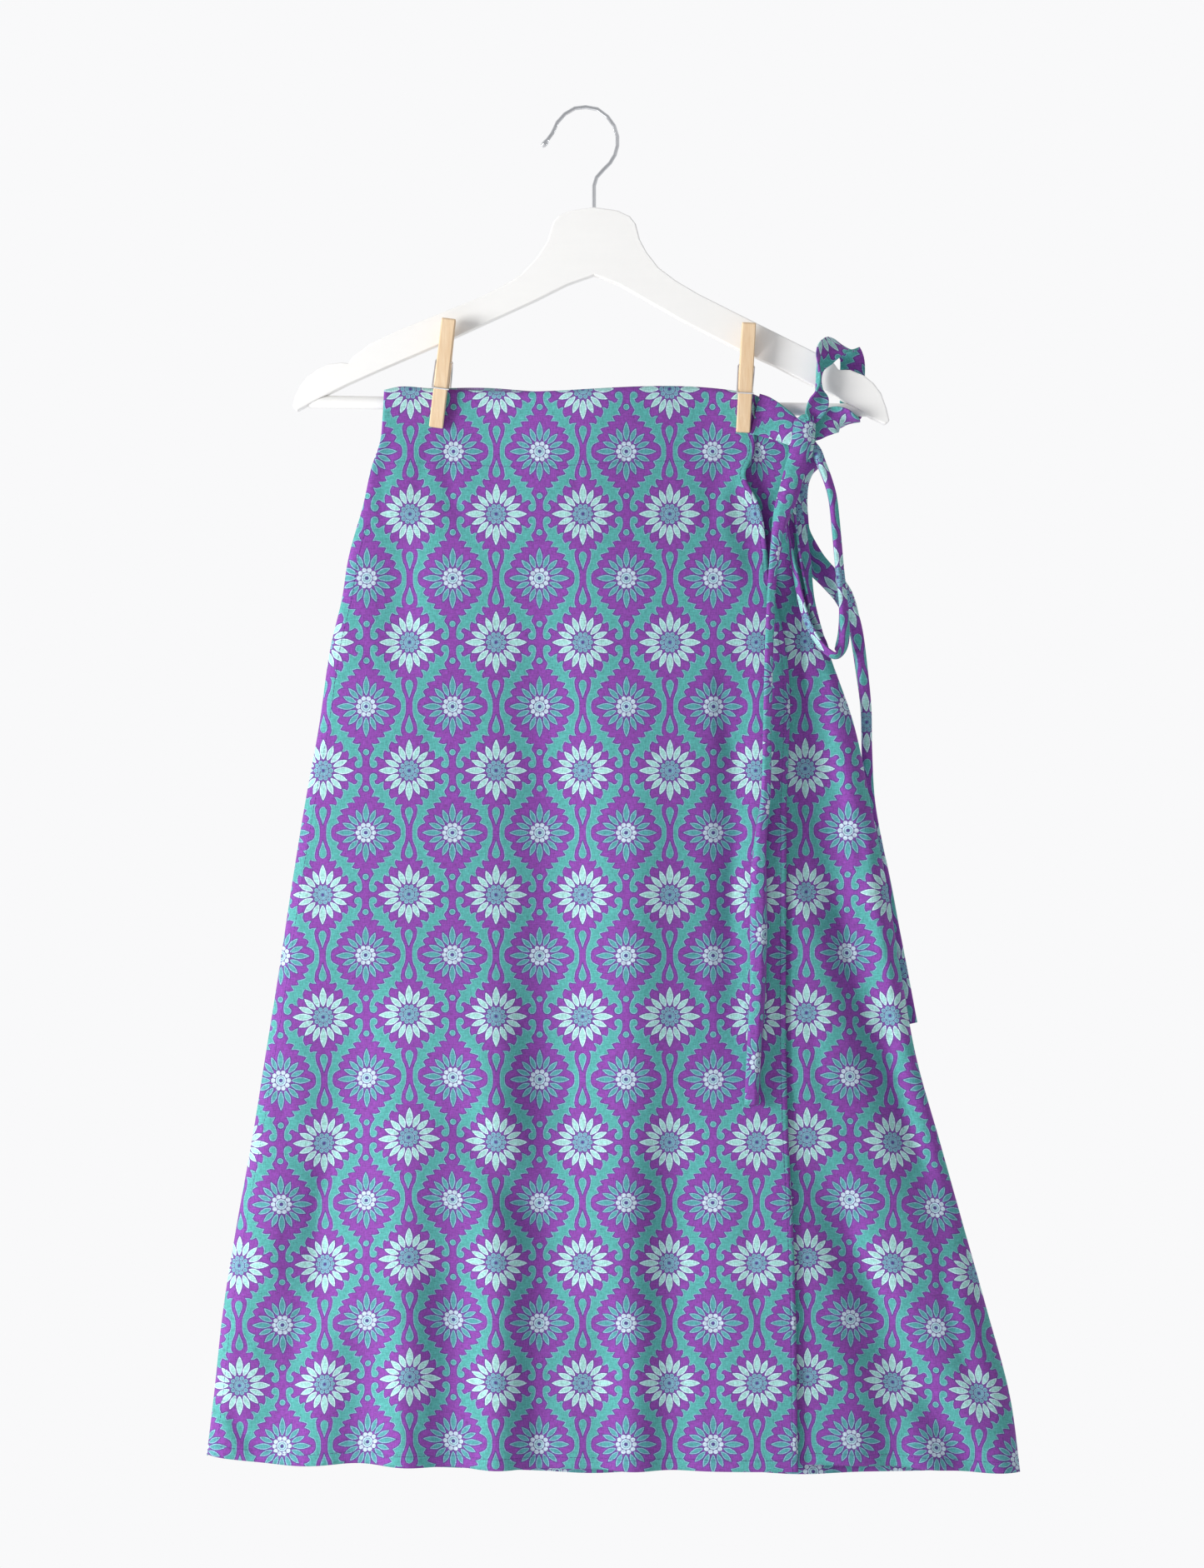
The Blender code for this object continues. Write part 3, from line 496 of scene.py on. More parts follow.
def front_y(x, z):
    """Depth of the over panel's middle line, away from the sides."""
    t = lower(z)
    full = side_radius(z) + (7.0 * ramp(-z, 234, 340) + 18.0 * t) * (1 - across(x, z) ** 4)
    fold = held_back(FOLD_MORE * folds(x, z, FRONT_FOLDS, -20.0 - 20.0 * t), full)
    fold = fold + creases(x, z, FRONT_CREASES, -20.0 - 20.0 * t)
    slack = np.clip(1 - abs(x - 4.0) / 100.0, 0, 1)
    slack = 8.5 * slack * slack * (3 - 2 * slack) * np.exp(-4.0 * t)
    return side_y(z) - full - slack + fold


def under_y(x, z):
    """Depth of the under panel's middle line: behind the over panel's, with its folds."""
    gap = UNDER_Y - OVER_Y + 1.4 * ramp(-z, 234, 300) + 0.8 * lower(z)
    gap = gap + 0.12 * np.maximum(OVER_Y - front_y(x, z), 0) * (1 - ramp(-z, 234, 300))
    column = column_of(x, -15.0)
    row = row_of(z, -15.0)
    recess = 2.4 * np.exp(-(((column - 922) / 17) ** 2) - ((row - 572) / 34) ** 2)
    return front_y(x, z) + gap + recess


def back_y(x, z):
    full = side_radius(z) + (5.0 * ramp(-z, 236, 340) + 9.0 * lower(z)) * (1 - across(x, z) ** 4)
    fold = held_back(FOLD_MORE * folds(x, z, BACK_FOLDS, 0.0), full) + creases(x, z, BACK_CREASES, 0.0)
    return side_y(z) + full - fold


def turned(x, z, flat, side, sign):
    """The flat line bent round to the seam near a side. side is -1 at the left and 1 at the right."""
    x_side = sides(z)[0] if side < 0 else sides(z)[1]
    reach = SIDE_BEND * side_radius(z)
    seam = side_y(z)
    if side > 0:
        seam = seam + (UNDER_Y - OVER_Y) / 2 * (1 - ramp(-z, 250, 330))
    seam = seam + sign * (0.35 + 0.4 * (side > 0) * (1 - ramp(-z, 262, 330)))
    near = np.clip(1 - abs(x_side - x) / reach, 0, 1)
    return seam + (flat - seam) * np.sqrt(np.maximum(1 - near * near, 0))


def over_point(x, z):
    """Depth of the over panel, with its free edge standing off the under panel, most beside the knot."""
    inside = over_edge(z) - x
    lift = 1.5 * np.exp(-((inside / 14.0) ** 2)) * ramp(-z, 240, 330) * (1 - 0.75 * ramp(-z, 420, 640))
    lift = lift + 4.0 * np.exp(-((inside / 9.0) ** 2)) * ramp(-z, 246, 262) * (1 - ramp(-z, 290, 335))
    return turned(x, z, front_y(x, z) - lift, -1, -1)


def under_point(x, z):
    return turned(x, z, under_y(x, z), 1, -1)


def back_point(x, z):
    return turned(x, z, turned(x, z, back_y(x, z), -1, 1), 1, 1)


def over_ends(x):
    return edge_z(x, WAIST, WAIST_Y), edge_z(x, OVER_HEM, OVER_HEM_Y)


def under_ends(x):
    return edge_z(x, WAIST, WAIST_Y) - 1.0, edge_z(x, UNDER_HEM, UNDER_HEM_Y)


def back_ends(x):
    rise = BACK_RISE * np.exp(-(((x + 70.0) / 34.0) ** 2))
    return edge_z(x, WAIST, WAIST_Y) + rise, edge_z(x, BACK_HEM, BACK_HEM_Y)


def turn_steps(z, side):
    """x of the steps round a side, from the seam inwards, one column for each step."""
    x_side = sides(z)[0] if side < 0 else sides(z)[1]
    angles = np.linspace(0, math.pi / 2, SIDE_STEPS + 1)
    return x_side[:, None] - side * SIDE_BEND * side_radius(z)[:, None] * (1 - np.cos(angles))


def between(start, end, count):
    """Evenly spaced steps from start to end in each row, without the first."""
    share = np.linspace(0, 1, count + 1)[1:]
    return start[:, None] + (end - start)[:, None] * share


def over_columns(z, count):
    turn = turn_steps(z, -1)
    return np.hstack([turn, between(turn[:, -1], over_edge(z), count)])


def under_columns(z, count):
    turn = turn_steps(z, 1)
    return np.hstack([turn, between(turn[:, -1], np.full(len(z), HIDDEN_EDGE_X), count)])


def back_columns(z, count):
    left = turn_steps(z, -1)
    right = turn_steps(z, 1)
    return np.hstack([left, between(left[:, -1], right[:, -1], count)[:, :-1], right[:, ::-1]])


def panel_points(columns, point, ends, rows, count):
    """Rows of points on the middle of a panel, from the waist to the hem."""
    share = np.linspace(0, 1, rows + 1)
    share = share - 0.12 * np.sin(2 * math.pi * share) / (2 * math.pi)
    top, hem = ends(np.array(0.0))
    xs = columns(top + share * (hem - top), count)
    for _ in range(3):
        top, hem = ends(xs)
        z = top + share[:, None] * (hem - top)
        xs = np.stack([columns(z[:, k], count)[:, k] for k in range(xs.shape[1])], axis=1)
    top, hem = ends(xs)
    z = top + share[:, None] * (hem - top)
    return np.stack([xs, point(xs, z), z], axis=2)


def print_across(points, zero):
    """Distance along each row of points from x = zero. The folds' depth counts in part, as in the photo."""
    step = np.linalg.norm(np.diff(points, axis=1) * (1.0, 0.45, 1.0), axis=2)
    run = np.concatenate([np.zeros((len(points), 1)), np.cumsum(step, axis=1)], axis=1)
    sign = 1 if points[0, -1, 0] > points[0, 0, 0] else -1
    start = [np.interp(sign * zero, sign * p[:, 0], r) for p, r in zip(points, run, strict=True)]
    return sign * (run - np.array(start)[:, None])


def print_down(points):
    """Distance up the print, from the rows that the photo shows its daisies in. It droops to both sides."""
    row = row_of(points[:, :, 2], points[:, :, 1])
    column = column_of(points[:, :, 0], points[:, :, 1])
    droop = np.interp(column, [c for c, _ in DROOP], [d for _, d in DROOP])
    row = row - droop * ramp(-points[:, :, 2], 500.0, 850.0)
    right = np.clip((column - 968.0) / 206.0, 0, 1.3) ** 1.6
    row = row - 20.0 * right * ramp(-points[:, :, 2], 500.0, 800.0)
    count = len(DAISY_ROWS)
    rows = [DAISY_ROWS[0] - 150, *DAISY_ROWS, DAISY_ROWS[-1] + 147]
    return -np.interp(row, rows, CELL_TALL * np.arange(-1.0, count + 1))


def mesh_of(name, points, faces, uvs=None):
    mesh = bpy.data.meshes.new(name)
    mesh.from_pydata((0.001 * np.asarray(points, float)).tolist(), [], faces)
    if uvs is not None:
        layer = mesh.uv_layers.new(name="print")
        corners = np.zeros(len(mesh.loops), np.int32)
        mesh.loops.foreach_get("vertex_index", corners)
        layer.data.foreach_set("uv", np.asarray(uvs, float)[corners].astype(np.float32).ravel())
    mesh.polygons.foreach_set("use_smooth", [True] * len(mesh.polygons))
    mesh.update()
    return mesh


def placed(name, mesh, *paints):
    for paint in paints:
        mesh.materials.append(paint)
    made = bpy.data.objects.new(name, mesh)
    bpy.context.scene.collection.objects.link(made)
    return made


def cloth_sheet(name, points, uv, wall, flip, paints):
    """A thin cloth wall round a grid of middle points."""
    tall, wide = points.shape[:2]
    index = np.arange(tall * wide).reshape(tall, wide)
    faces = np.stack([index[:-1, :-1], index[:-1, 1:], index[1:, 1:], index[1:, :-1]], axis=2).reshape(-1, 4)
    if flip:
        faces = faces[:, ::-1]
    mesh = mesh_of(name, points.reshape(-1, 3), faces.tolist(), uv.reshape(-1, 2))
    made = placed(name, mesh, *paints)
    thick = made.modifiers.new("wall", "SOLIDIFY")
    thick.thickness = 0.001 * wall
    thick.offset = 0
    thick.use_even_offset = False
    if len(paints) > 1:
        # The hem is turned up, so the print shows on its inner side too.
        thick.material_offset = 1
        for face in mesh.polygons[-HEM_ROWS * (wide - 1) :]:
            face.material_index = 2
    return made


class Num:
    """A number in a material's nodes that takes part in sums."""

    def __init__(self, tree, socket):
        self.tree = tree
        self.socket = socket

    def math(self, operation, *others, clamp=False):
        node = self.tree.nodes.new("ShaderNodeMath")
        node.operation = operation
        node.use_clamp = clamp
        for slot, value in zip(node.inputs, (self, *others), strict=False):
            if isinstance(value, Num):
                self.tree.links.new(value.socket, slot)
            else:
                slot.default_value = value
        return Num(self.tree, node.outputs[0])

    def __add__(self, other):
        return self.math("ADD", other)

    def __sub__(self, other):
        return self.math("SUBTRACT", other)

    def __mul__(self, other):
        return self.math("MULTIPLY", other)

    def __truediv__(self, other):
        return self.math("DIVIDE", other)

    def minus_from(self, start):
        return self.math("MULTIPLY_ADD", -1.0, start)

    def abs(self):
        return self.math("ABSOLUTE")

    def sqrt(self):
        return self.math("SQRT")

    def least(self, other):
        return self.math("MINIMUM", other)

    def most(self, other):
        return self.math("MAXIMUM", other)

    def under(self, limit, soft=0.14):
        """1 where this is under the limit, 0 where it is over, with a soft step of that length."""
        return self.math("MULTIPLY_ADD", -1.0 / soft, limit / soft + 0.5, clamp=True)

    def curve(self, table, wide, tall):
        """A height from a table of straight runs. Its first numbers go up to wide and its second to tall."""
        node = self.tree.nodes.new("ShaderNodeFloatCurve")
        line = node.mapping.curves[0]
        while len(line.points) < len(table):
            line.points.new(0.5, 0.5)
        for point, (at, height) in zip(line.points, table, strict=True):
            point.location = (at / wide, height / tall)
            point.handle_type = "VECTOR"
        node.mapping.update()
        self.tree.links.new((self / wide).socket, node.inputs["Value"])
        return Num(self.tree, node.outputs[0]) * tall


def linear(code):
    """A colour code as the linear values that a shader takes."""
    parts = [int(code[k : k + 2], 16) / 255 for k in (0, 2, 4)]
    return (*(p / 12.92 if p <= 0.04045 else ((p + 0.055) / 1.055) ** 2.4 for p in parts), 1.0)


def mix(tree, below, above, share):
    """One colour laid over another."""
    node = tree.nodes.new("ShaderNodeMix")
    node.data_type = "RGBA"
    tree.links.new(share.socket, node.inputs["Factor"])
    for slot, value in ((node.inputs[6], below), (node.inputs[7], above)):
        if isinstance(value, bpy.types.NodeSocket):
            tree.links.new(value, slot)
        else:
            slot.default_value = value
    return node.outputs[2]


PURPLE = linear("8946A5")
TEAL = linear("56AAA6")
TEAL_EDGE = linear("88AFC6")
LINE = linear("56478A")
MINT = linear("A3D6D2")
MINT_EDGE = linear("CFE2EE")
PETAL_TEAL = linear("559FA4")
PETAL_EDGE = linear("8FB6CC")
HEART = linear("6C9DB4")
HEART_EDGE = linear("8BB7C6")
HEART_LIGHT = linear("AFD2DC")
BEAD = linear("C3D6E4")
RING = linear("6E93AC")


def stamp(tree, colour, distance, fill, edge, line, rim=0.6, out=0.6):
    """A filled shape with a light rim and a dark line round it. distance is under 0 inside it, in mm."""
    colour = mix(tree, colour, line, distance.under(out))
    colour = mix(tree, colour, edge, distance.under(0.0))
    return mix(tree, colour, fill, distance.under(-rim))


def petals(x, y, inner, main_tip, tip, main_half, half):
    """Distance to the sixteen petals of a daisy, the four upright and level ones longer."""
    angle = y.math("ARCTAN2", x) / math.radians(22.5)
    turn = angle.math("ROUND")
    off = ((angle - turn) * math.radians(22.5)).abs()
    main = (turn - 2.0).abs().math("GREATER_THAN", 1.5)
    radius = (x * x + y * y).sqrt()
    along = radius * off.math("COSINE")
    beside = radius * off.math("SINE")
    length = main * (main_tip - tip) + (tip - inner)
    share = (along - inner) / length
    width = main * (main_half - half) + half
    side = beside - share.curve(PETAL, 1.0, 1.0) * width
    ends = (share - 0.5).abs() - 0.5
    return side.most(ends * length), radius, angle


def beads(radius, angle, ring, size):
    """Distance to the ten beads round a daisy's heart."""
    turn = angle * (22.5 / 36.0)
    off = (turn - turn.math("ROUND")) * math.radians(36.0)
    flat = radius * off.math("COSINE") - ring
    side = radius * off.math("SINE")
    return (flat * flat + side * side).sqrt() - size


def round_shape(x, y, at_x, at_y, size):
    across_it = x - at_x
    up = y - at_y
    return (across_it * across_it + up * up).sqrt() - size


def leaf_shares(x, y, reach):
    """Where the leaf band is when drawn wider by reach, as it is, and narrower by reach."""
    along = (y - x) * math.sqrt(0.5) + 22.0
    out = (x + y) * math.sqrt(0.5)
    by_pale = [(at + 22.0, t) for at, t in LEAF_BY_PALE]
    by_green = [(at + 22.0, t) for at, t in LEAF_BY_GREEN]
    low = [(along + s).curve(by_pale, 54.0, 54.0) for s in (-reach, 0.0, reach)]
    high = [(along + s).curve(by_green, 54.0, 54.0) for s in (-reach, 0.0, reach)]
    ball = round_shape(x, y, 25.6, 4.6, 2.75)
    edges = (
        (low[0].least(low[1] - reach).least(low[2]), high[0].most(high[1] + reach).most(high[2]), reach),
        (low[1], high[1], 0.0),
        (low[0].most(low[1] + reach).most(low[2]), high[0].least(high[1] - reach).least(high[2]), -reach),
    )
    shares = []
    for start, end, grow in edges:
        band = (start - out).most(out - end)
        shares.append(band.least(ball - grow).under(0.0))
    return shares


def print_group():
    """The printed pattern as a node group: millimetres across and up the cloth in, colour out."""
    tree = bpy.data.node_groups.new("daisy_ogee_print", "ShaderNodeTree")
    tree.interface.new_socket("Across", in_out="INPUT", socket_type="NodeSocketFloat")
    tree.interface.new_socket("Up", in_out="INPUT", socket_type="NodeSocketFloat")
    tree.interface.new_socket("Color", in_out="OUTPUT", socket_type="NodeSocketColor")
    start = tree.nodes.new("NodeGroupInput")
    end = tree.nodes.new("NodeGroupOutput")
    x = Num(tree, start.outputs[0]).math("PINGPONG", 0.5 * CELL_WIDE)
    y = Num(tree, start.outputs[1]).math("PINGPONG", 0.5 * CELL_TALL)
    gx = x.minus_from(0.5 * CELL_WIDE)
    gy = y.minus_from(0.5 * CELL_TALL)

    wider, exact, thin = leaf_shares(x, y, 0.6)
    colour = mix(tree, PURPLE, LINE, wider)
    colour = mix(tree, colour, TEAL_EDGE, exact)
    colour = mix(tree, colour, TEAL, thin)

    drop = (x - y.curve(DROP, 0.5 * CELL_TALL, 10.0)).most((y - 33.0).abs() - 6.6)
    colour = stamp(tree, colour, drop, TEAL, TEAL_EDGE, LINE)
    dot = round_shape(x, y, 31.0, 13.0, 2.2)
    colour = stamp(tree, colour, dot, TEAL, TEAL_EDGE, LINE)

    petal, radius, angle = petals(x, y, 7.9, 22.1, 19.0, 2.55, 2.15)
    colour = stamp(tree, colour, petal, MINT, MINT_EDGE, LINE)
    colour = stamp(tree, colour, beads(radius, angle, 5.7, 1.6), HEART, HEART_EDGE, LINE, rim=0.5, out=0.4)
    colour = stamp(tree, colour, radius - 3.9, HEART, HEART_EDGE, LINE, rim=0.4, out=0.4)
    colour = mix(tree, colour, HEART_EDGE, radius.under(2.6))
    colour = mix(tree, colour, HEART, radius.under(2.2))
    colour = mix(tree, colour, LINE, radius.under(1.2, soft=0.6))

    petal, radius, angle = petals(gx, gy, 7.9, 21.6, 18.2, 2.3, 1.95)
    colour = stamp(tree, colour, petal, PETAL_TEAL, PETAL_EDGE, LINE)
    colour = stamp(tree, colour, beads(radius, angle, 5.8, 1.65), BEAD, BEAD, LINE, out=0.4)
    colour = stamp(tree, colour, radius - 3.9, HEART_LIGHT, BEAD, LINE, rim=0.5, out=0.4)
    colour = mix(tree, colour, RING, radius.under(2.8))
    colour = mix(tree, colour, HEART_LIGHT, radius.under(2.4))
    colour = mix(tree, colour, RING, radius.under(1.5, soft=0.5))
    colour = mix(tree, colour, LINE, radius.under(1.25))
    tree.links.new(colour, end.inputs[0])
    return tree


def noise(tree, vector, scale, detail=3.0, rough=0.6):
    node = tree.nodes.new("ShaderNodeTexNoise")
    node.inputs["Scale"].default_value = scale
    node.inputs["Detail"].default_value = detail
    node.inputs["Roughness"].default_value = rough
    tree.links.new(vector, node.inputs["Vector"])
    return Num(tree, node.outputs["Fac"])


def scaled(tree, vector, sizes):
    """The same places with each direction stretched, for a noise with a grain."""
    node = tree.nodes.new("ShaderNodeMapping")
    node.inputs["Scale"].default_value = sizes
    tree.links.new(vector, node.inputs["Vector"])
    return node.outputs["Vector"]


def bump(tree, height, depth, strength, below=None):
    node = tree.nodes.new("ShaderNodeBump")
    node.inputs["Strength"].default_value = strength
    node.inputs["Distance"].default_value = depth
    tree.links.new(height.socket, node.inputs["Height"])
    if below is not None:
        tree.links.new(below, node.inputs["Normal"])
    return node.outputs["Normal"]


def bright(tree, colour, value):
    node = tree.nodes.new("ShaderNodeHueSaturation")
    tree.links.new(value.socket, node.inputs["Value"])
    if isinstance(colour, bpy.types.NodeSocket):
        tree.links.new(colour, node.inputs["Color"])
    else:
        node.inputs["Color"].default_value = colour
    return node.outputs["Color"]


def new_material(name):
    made = bpy.data.materials.new(name)
    made.use_nodes = True
    tree = made.node_tree
    return made, tree, tree.nodes["Principled BSDF"]


def cloth_material(name, pattern, faded=0.0):
    """Plain woven cotton with the print on it. faded lightens it to the look of the wrong side."""
    made, tree, shader = new_material(name)
    uv = tree.nodes.new("ShaderNodeUVMap")
    uv.uv_map = "print"
    parts = tree.nodes.new("ShaderNodeSeparateXYZ")
    tree.links.new(uv.outputs["UV"], parts.inputs[0])
    u = Num(tree, parts.outputs[0]) * 1000.0
    v = Num(tree, parts.outputs[1]) * 1000.0
    wander = noise(tree, uv.outputs["UV"], 700.0, 2.0)
    fray = (wander - 0.5) * 0.5
    group = tree.nodes.new("ShaderNodeGroup")
    group.node_tree = pattern
    tree.links.new((u + fray).socket, group.inputs[0])
    tree.links.new((v + fray).socket, group.inputs[1])
    colour = group.outputs[0]
    if faded:
        colour = mix(tree, colour, linear("A9A9C0"), (wander - 0.5) * 0.3 + faded)
    warp = noise(tree, scaled(tree, uv.outputs["UV"], (1500.0, 260.0, 1.0)), 1.0, 2.0)
    weft = noise(tree, scaled(tree, uv.outputs["UV"], (260.0, 1500.0, 1.0)), 1.0, 2.0)
    cloudy = noise(tree, uv.outputs["UV"], 14.0, 3.0)
    value = (warp + weft - 1.0) * 1.05 + (cloudy - 0.5) * 0.14 + 1.0
    tree.links.new(bright(tree, colour, value), shader.inputs["Base Color"])
    over_under = (u * (2 * math.pi / WEAVE_MM)).math("SINE") * (v * (2 * math.pi / WEAVE_MM)).math("SINE")
    weave = bump(tree, over_under + (warp + weft) * 0.8, 0.00012, 0.35)
    crease = noise(tree, uv.outputs["UV"], 26.0, 4.0, 0.55)
    crumple = bump(tree, crease, 0.0022, 0.35, weave)
    tree.links.new(crumple, shader.inputs["Normal"])
    shader.inputs["Roughness"].default_value = 0.82
    shader.inputs["Specular IOR Level"].default_value = 0.25
    shader.inputs["Sheen Weight"].default_value = 0.12
    shader.inputs["Sheen Roughness"].default_value = 0.5
    return made


def object_vector(tree):
    return tree.nodes.new("ShaderNodeTexCoord").outputs["Object"]


def paint_material():
    """Satin white paint with brush marks and a little grime."""
    made, tree, shader = new_material("white_paint_scene")
    where = object_vector(tree)
    strokes = noise(tree, scaled(tree, where, (18.0, 260.0, 260.0)), 1.0, 4.0)
    dirt = noise(tree, where, 9.0, 5.0)
    value = (strokes - 0.5) * 0.03 + (dirt - 0.5) * 0.05 + 1.0
    tree.links.new(bright(tree, linear("F8F7F4"), value), shader.inputs["Base Color"])
    rough = (strokes - 0.5) * 0.2 + 0.36
    tree.links.new(rough.socket, shader.inputs["Roughness"])
    tree.links.new(bump(tree, strokes, 0.0004, 0.25), shader.inputs["Normal"])
    return made


def steel_material(name, along, rough):
    """Drawn wire with fine lines along it."""
    made, tree, shader = new_material(name)
    lines = noise(tree, scaled(tree, object_vector(tree), along), 1.0, 3.0)
    value = (lines - 0.5) * 0.25 + 1.0
    tree.links.new(bright(tree, linear("EDEEF0"), value), shader.inputs["Base Color"])
    shader.inputs["Metallic"].default_value = 1.0
    tree.links.new(((lines - 0.5) * 0.2 + rough).socket, shader.inputs["Roughness"])
    tree.links.new(bump(tree, lines, 0.0001, 0.3), shader.inputs["Normal"])
    return made


def wood_material():
    """Bare pale birch with its grain along the peg."""
    made, tree, shader = new_material("peg_wood_scene")
    where = object_vector(tree)
    grain = noise(tree, scaled(tree, where, (900.0, 900.0, 42.0)), 1.0, 4.0)
    rings = noise(tree, scaled(tree, where, (160.0, 160.0, 7.0)), 1.0, 3.0)
    tone = ((grain - 0.5) * 0.9 + (rings - 0.5) * 1.3 + 0.5).math("MULTIPLY", 1.0, clamp=True)
    colour = mix(tree, linear("F5DFC0"), linear("DDB88C"), tone)
    tree.links.new(colour, shader.inputs["Base Color"])
    shader.inputs["Roughness"].default_value = 0.62
    shader.inputs["Specular IOR Level"].default_value = 0.3
    tree.links.new(bump(tree, grain, 0.0003, 0.35), shader.inputs["Normal"])
    return made


def thread_material():
    made, tree, shader = new_material("thread")
    twist = noise(tree, object_vector(tree), 2400.0, 2.0)
    tree.links.new(bright(tree, linear("5A3B86"), (twist - 0.5) * 0.5 + 1.0), shader.inputs["Base Color"])
    tree.links.new(bump(tree, twist, 0.0002, 0.4), shader.inputs["Normal"])
    shader.inputs["Roughness"].default_value = 0.7
    return made


def strip_profile(width, curl):
    """Points across a folded strip: flat runs between two soft creases. curl is the whole turn in degrees."""
    share = np.linspace(0, 1, 25)
    turn = 0.5 * (ramp(share, 0.22, 0.42) + ramp(share, 0.58, 0.78)) - 0.5
    angle = math.radians(curl) * turn
    step = width / 24
    side = np.concatenate([[0], np.cumsum(step * np.cos(0.5 * (angle[1:] + angle[:-1])))])
    rise = np.concatenate([[0], np.cumsum(step * np.sin(0.5 * (angle[1:] + angle[:-1])))])
    return side - side.mean(), rise.mean() - rise, share * width


def swept(path, along, widths, curls, hints, print_x, print_y):
    """The points of a folded strip along a path, their places in the print, and the strip's length."""
    run = np.concatenate([[0], np.cumsum(np.linalg.norm(np.diff(path, axis=0), axis=1))])
    points = []
    uv = []
    for p, t, w, curl, hint, far in zip(path, along, widths, curls, hints, run, strict=True):
        t = t / np.linalg.norm(t)
        side = hint - t * (hint @ t)
        side = side / np.linalg.norm(side)
        flat, rise, share = strip_profile(w, max(curl, 0.5))
        points.append(p + side * flat[:, None] + np.cross(t, side) * rise[:, None])
        uv.append(np.stack([share + print_x, np.full(len(share), print_y - far)], axis=1))
    return np.array(points), 0.001 * np.array(uv), float(run[-1])


def strip(name, table, print_x, print_y):
    """A folded strip of cloth along a tie's table, its length and its mean width."""
    middle = [on_photo(c, r, d) for c, r, d, _, _, _ in table]
    at = np.arange(len(table), dtype=float)
    fine = np.linspace(0, len(table) - 1, (len(table) - 1) * STRIP_STEPS + 1)
    path = np.stack([smooth(fine, at, [p[k] for p in middle]) for k in range(3)], axis=1)
    widths = smooth(fine, at, [row[3] for row in table])
    curls = smooth(fine, at, [row[4] for row in table])
    hints = np.stack([smooth(fine, at, [row[5][k] for row in table]) for k in range(3)], axis=1)
    points, uv, run = swept(path, np.gradient(path, axis=0), widths, curls, hints, print_x, print_y)
    return cloth_sheet(name, points, uv, TIE_WALL, False, [cloth]), run, float(widths.mean())


def ring_strip(places, width, curl, hint, print_x, print_y):
    """A closed band of folded cloth round a tight bundle."""
    at = np.linspace(0, 1, len(places) + 1)
    fine = np.linspace(0, 1, 6 * len(places) + 1)
    rows = [on_photo(*p) for p in places]
    rows.append(rows[0])
    path = np.stack([looped(fine, at, [p[k] for p in rows]) for k in range(3)], axis=1)
    along = np.gradient(path, axis=0)
    along[0] = along[-1] = path[1] - path[-2]
    count = len(path)
    return swept(path, along, [width] * count, [curl] * count, [np.array(hint)] * count, print_x, print_y)


def looped(at, xs, ys):
    """Soft closed curve through a table whose last row is its first again."""
    xs = np.concatenate([xs[-3:-1] - 1, xs, xs[1:3] + 1])
    ys = np.concatenate([ys[-3:-1], ys, ys[1:3]])
    return smooth(at, xs, ys)


def before_front(table):
    """A tie's table with its heights over the over panel turned into depths."""
    rows = []
    for col, row, lift, width, curl, hint in table:
        x, _, z = on_photo(col, row, FRONT_Y)
        rows.append((col, row, float(front_y(x, z)) - lift, width, curl, hint))
    return rows


def stitches(name, path, pitch, length, thick):
    """A row of sewn stitches along a line of points, each a short rounded bar."""
    path = np.asarray(path, float)
    run = np.concatenate([[0], np.cumsum(np.linalg.norm(np.diff(path, axis=0), axis=1))])
    points = []
    faces = []
    for k in range(int(run[-1] / pitch)):
        mid = (k + 0.5) * pitch
        ends = [mid - length / 2, mid - 0.32 * length, mid + 0.32 * length, mid + length / 2]
        centre = np.stack([np.interp(ends, run, path[:, c]) for c in range(3)], axis=1)
        t = centre[-1] - centre[0]
        t = t / np.linalg.norm(t)
        side = np.cross(t, (0.0, 1.0, 0.0))
        side = side / np.linalg.norm(side)
        out = np.cross(t, side)
        first = len(points)
        for c, size in zip(centre, (0.35, 1.0, 1.0, 0.35), strict=True):
            for a in np.linspace(0, 2 * math.pi, 7)[:-1]:
                points.append(c + 0.5 * thick * size * (side * math.cos(a) + out * math.sin(a)))
        for ring in range(3):
            for s in range(6):
                a = first + 6 * ring + s
                b = first + 6 * ring + (s + 1) % 6
                faces.append((a, b, b + 6, a + 6))
        faces.append(tuple(range(first + 5, first - 1, -1)))
        faces.append(tuple(range(first + 18, first + 24)))
    return placed(name, mesh_of(name, points, faces), thread)


def line_on(point, xs, zs, out):
    """Points on a panel's face at these places."""
    return np.stack([xs, point(xs, zs) - out, zs], axis=1)


pattern = print_group()
cloth = cloth_material("printed_cloth_scene", pattern)
reverse = cloth_material("printed_cloth_reverse", pattern, faded=0.45)
thread = thread_material()
panel_paints = [cloth, reverse, cloth, cloth]

over_grid = panel_points(over_columns, over_point, over_ends, 190, 140)
u = print_across(over_grid, x_on_photo(OVER_PRINT, FRONT_Y))
over_uv = 0.001 * np.stack([u, print_down(over_grid)], axis=2)
over = cloth_sheet("over_panel", over_grid, over_uv, CLOTH_WALL, True, panel_paints)

under_grid = panel_points(under_columns, under_point, under_ends, 190, 130)
u = print_across(under_grid, x_on_photo(UNDER_PRINT, FRONT_Y))
under_uv = 0.001 * np.stack([u, print_down(under_grid) - 6.0 * (lower(under_grid[:, :, 2]) - 0.1)], axis=2)
under = cloth_sheet("under_panel", under_grid, under_uv, CLOTH_WALL, False, panel_paints)

back_grid = panel_points(back_columns, back_point, back_ends, 170, 150)
u = print_across(back_grid, x_on_photo(BACK_PRINT, BACK_HEM_Y))
back_uv = 0.001 * np.stack([-u, print_down(back_grid) + 20.0], axis=2)
back = cloth_sheet("back_panel_cloth", back_grid, back_uv, CLOTH_WALL, False, panel_paints)

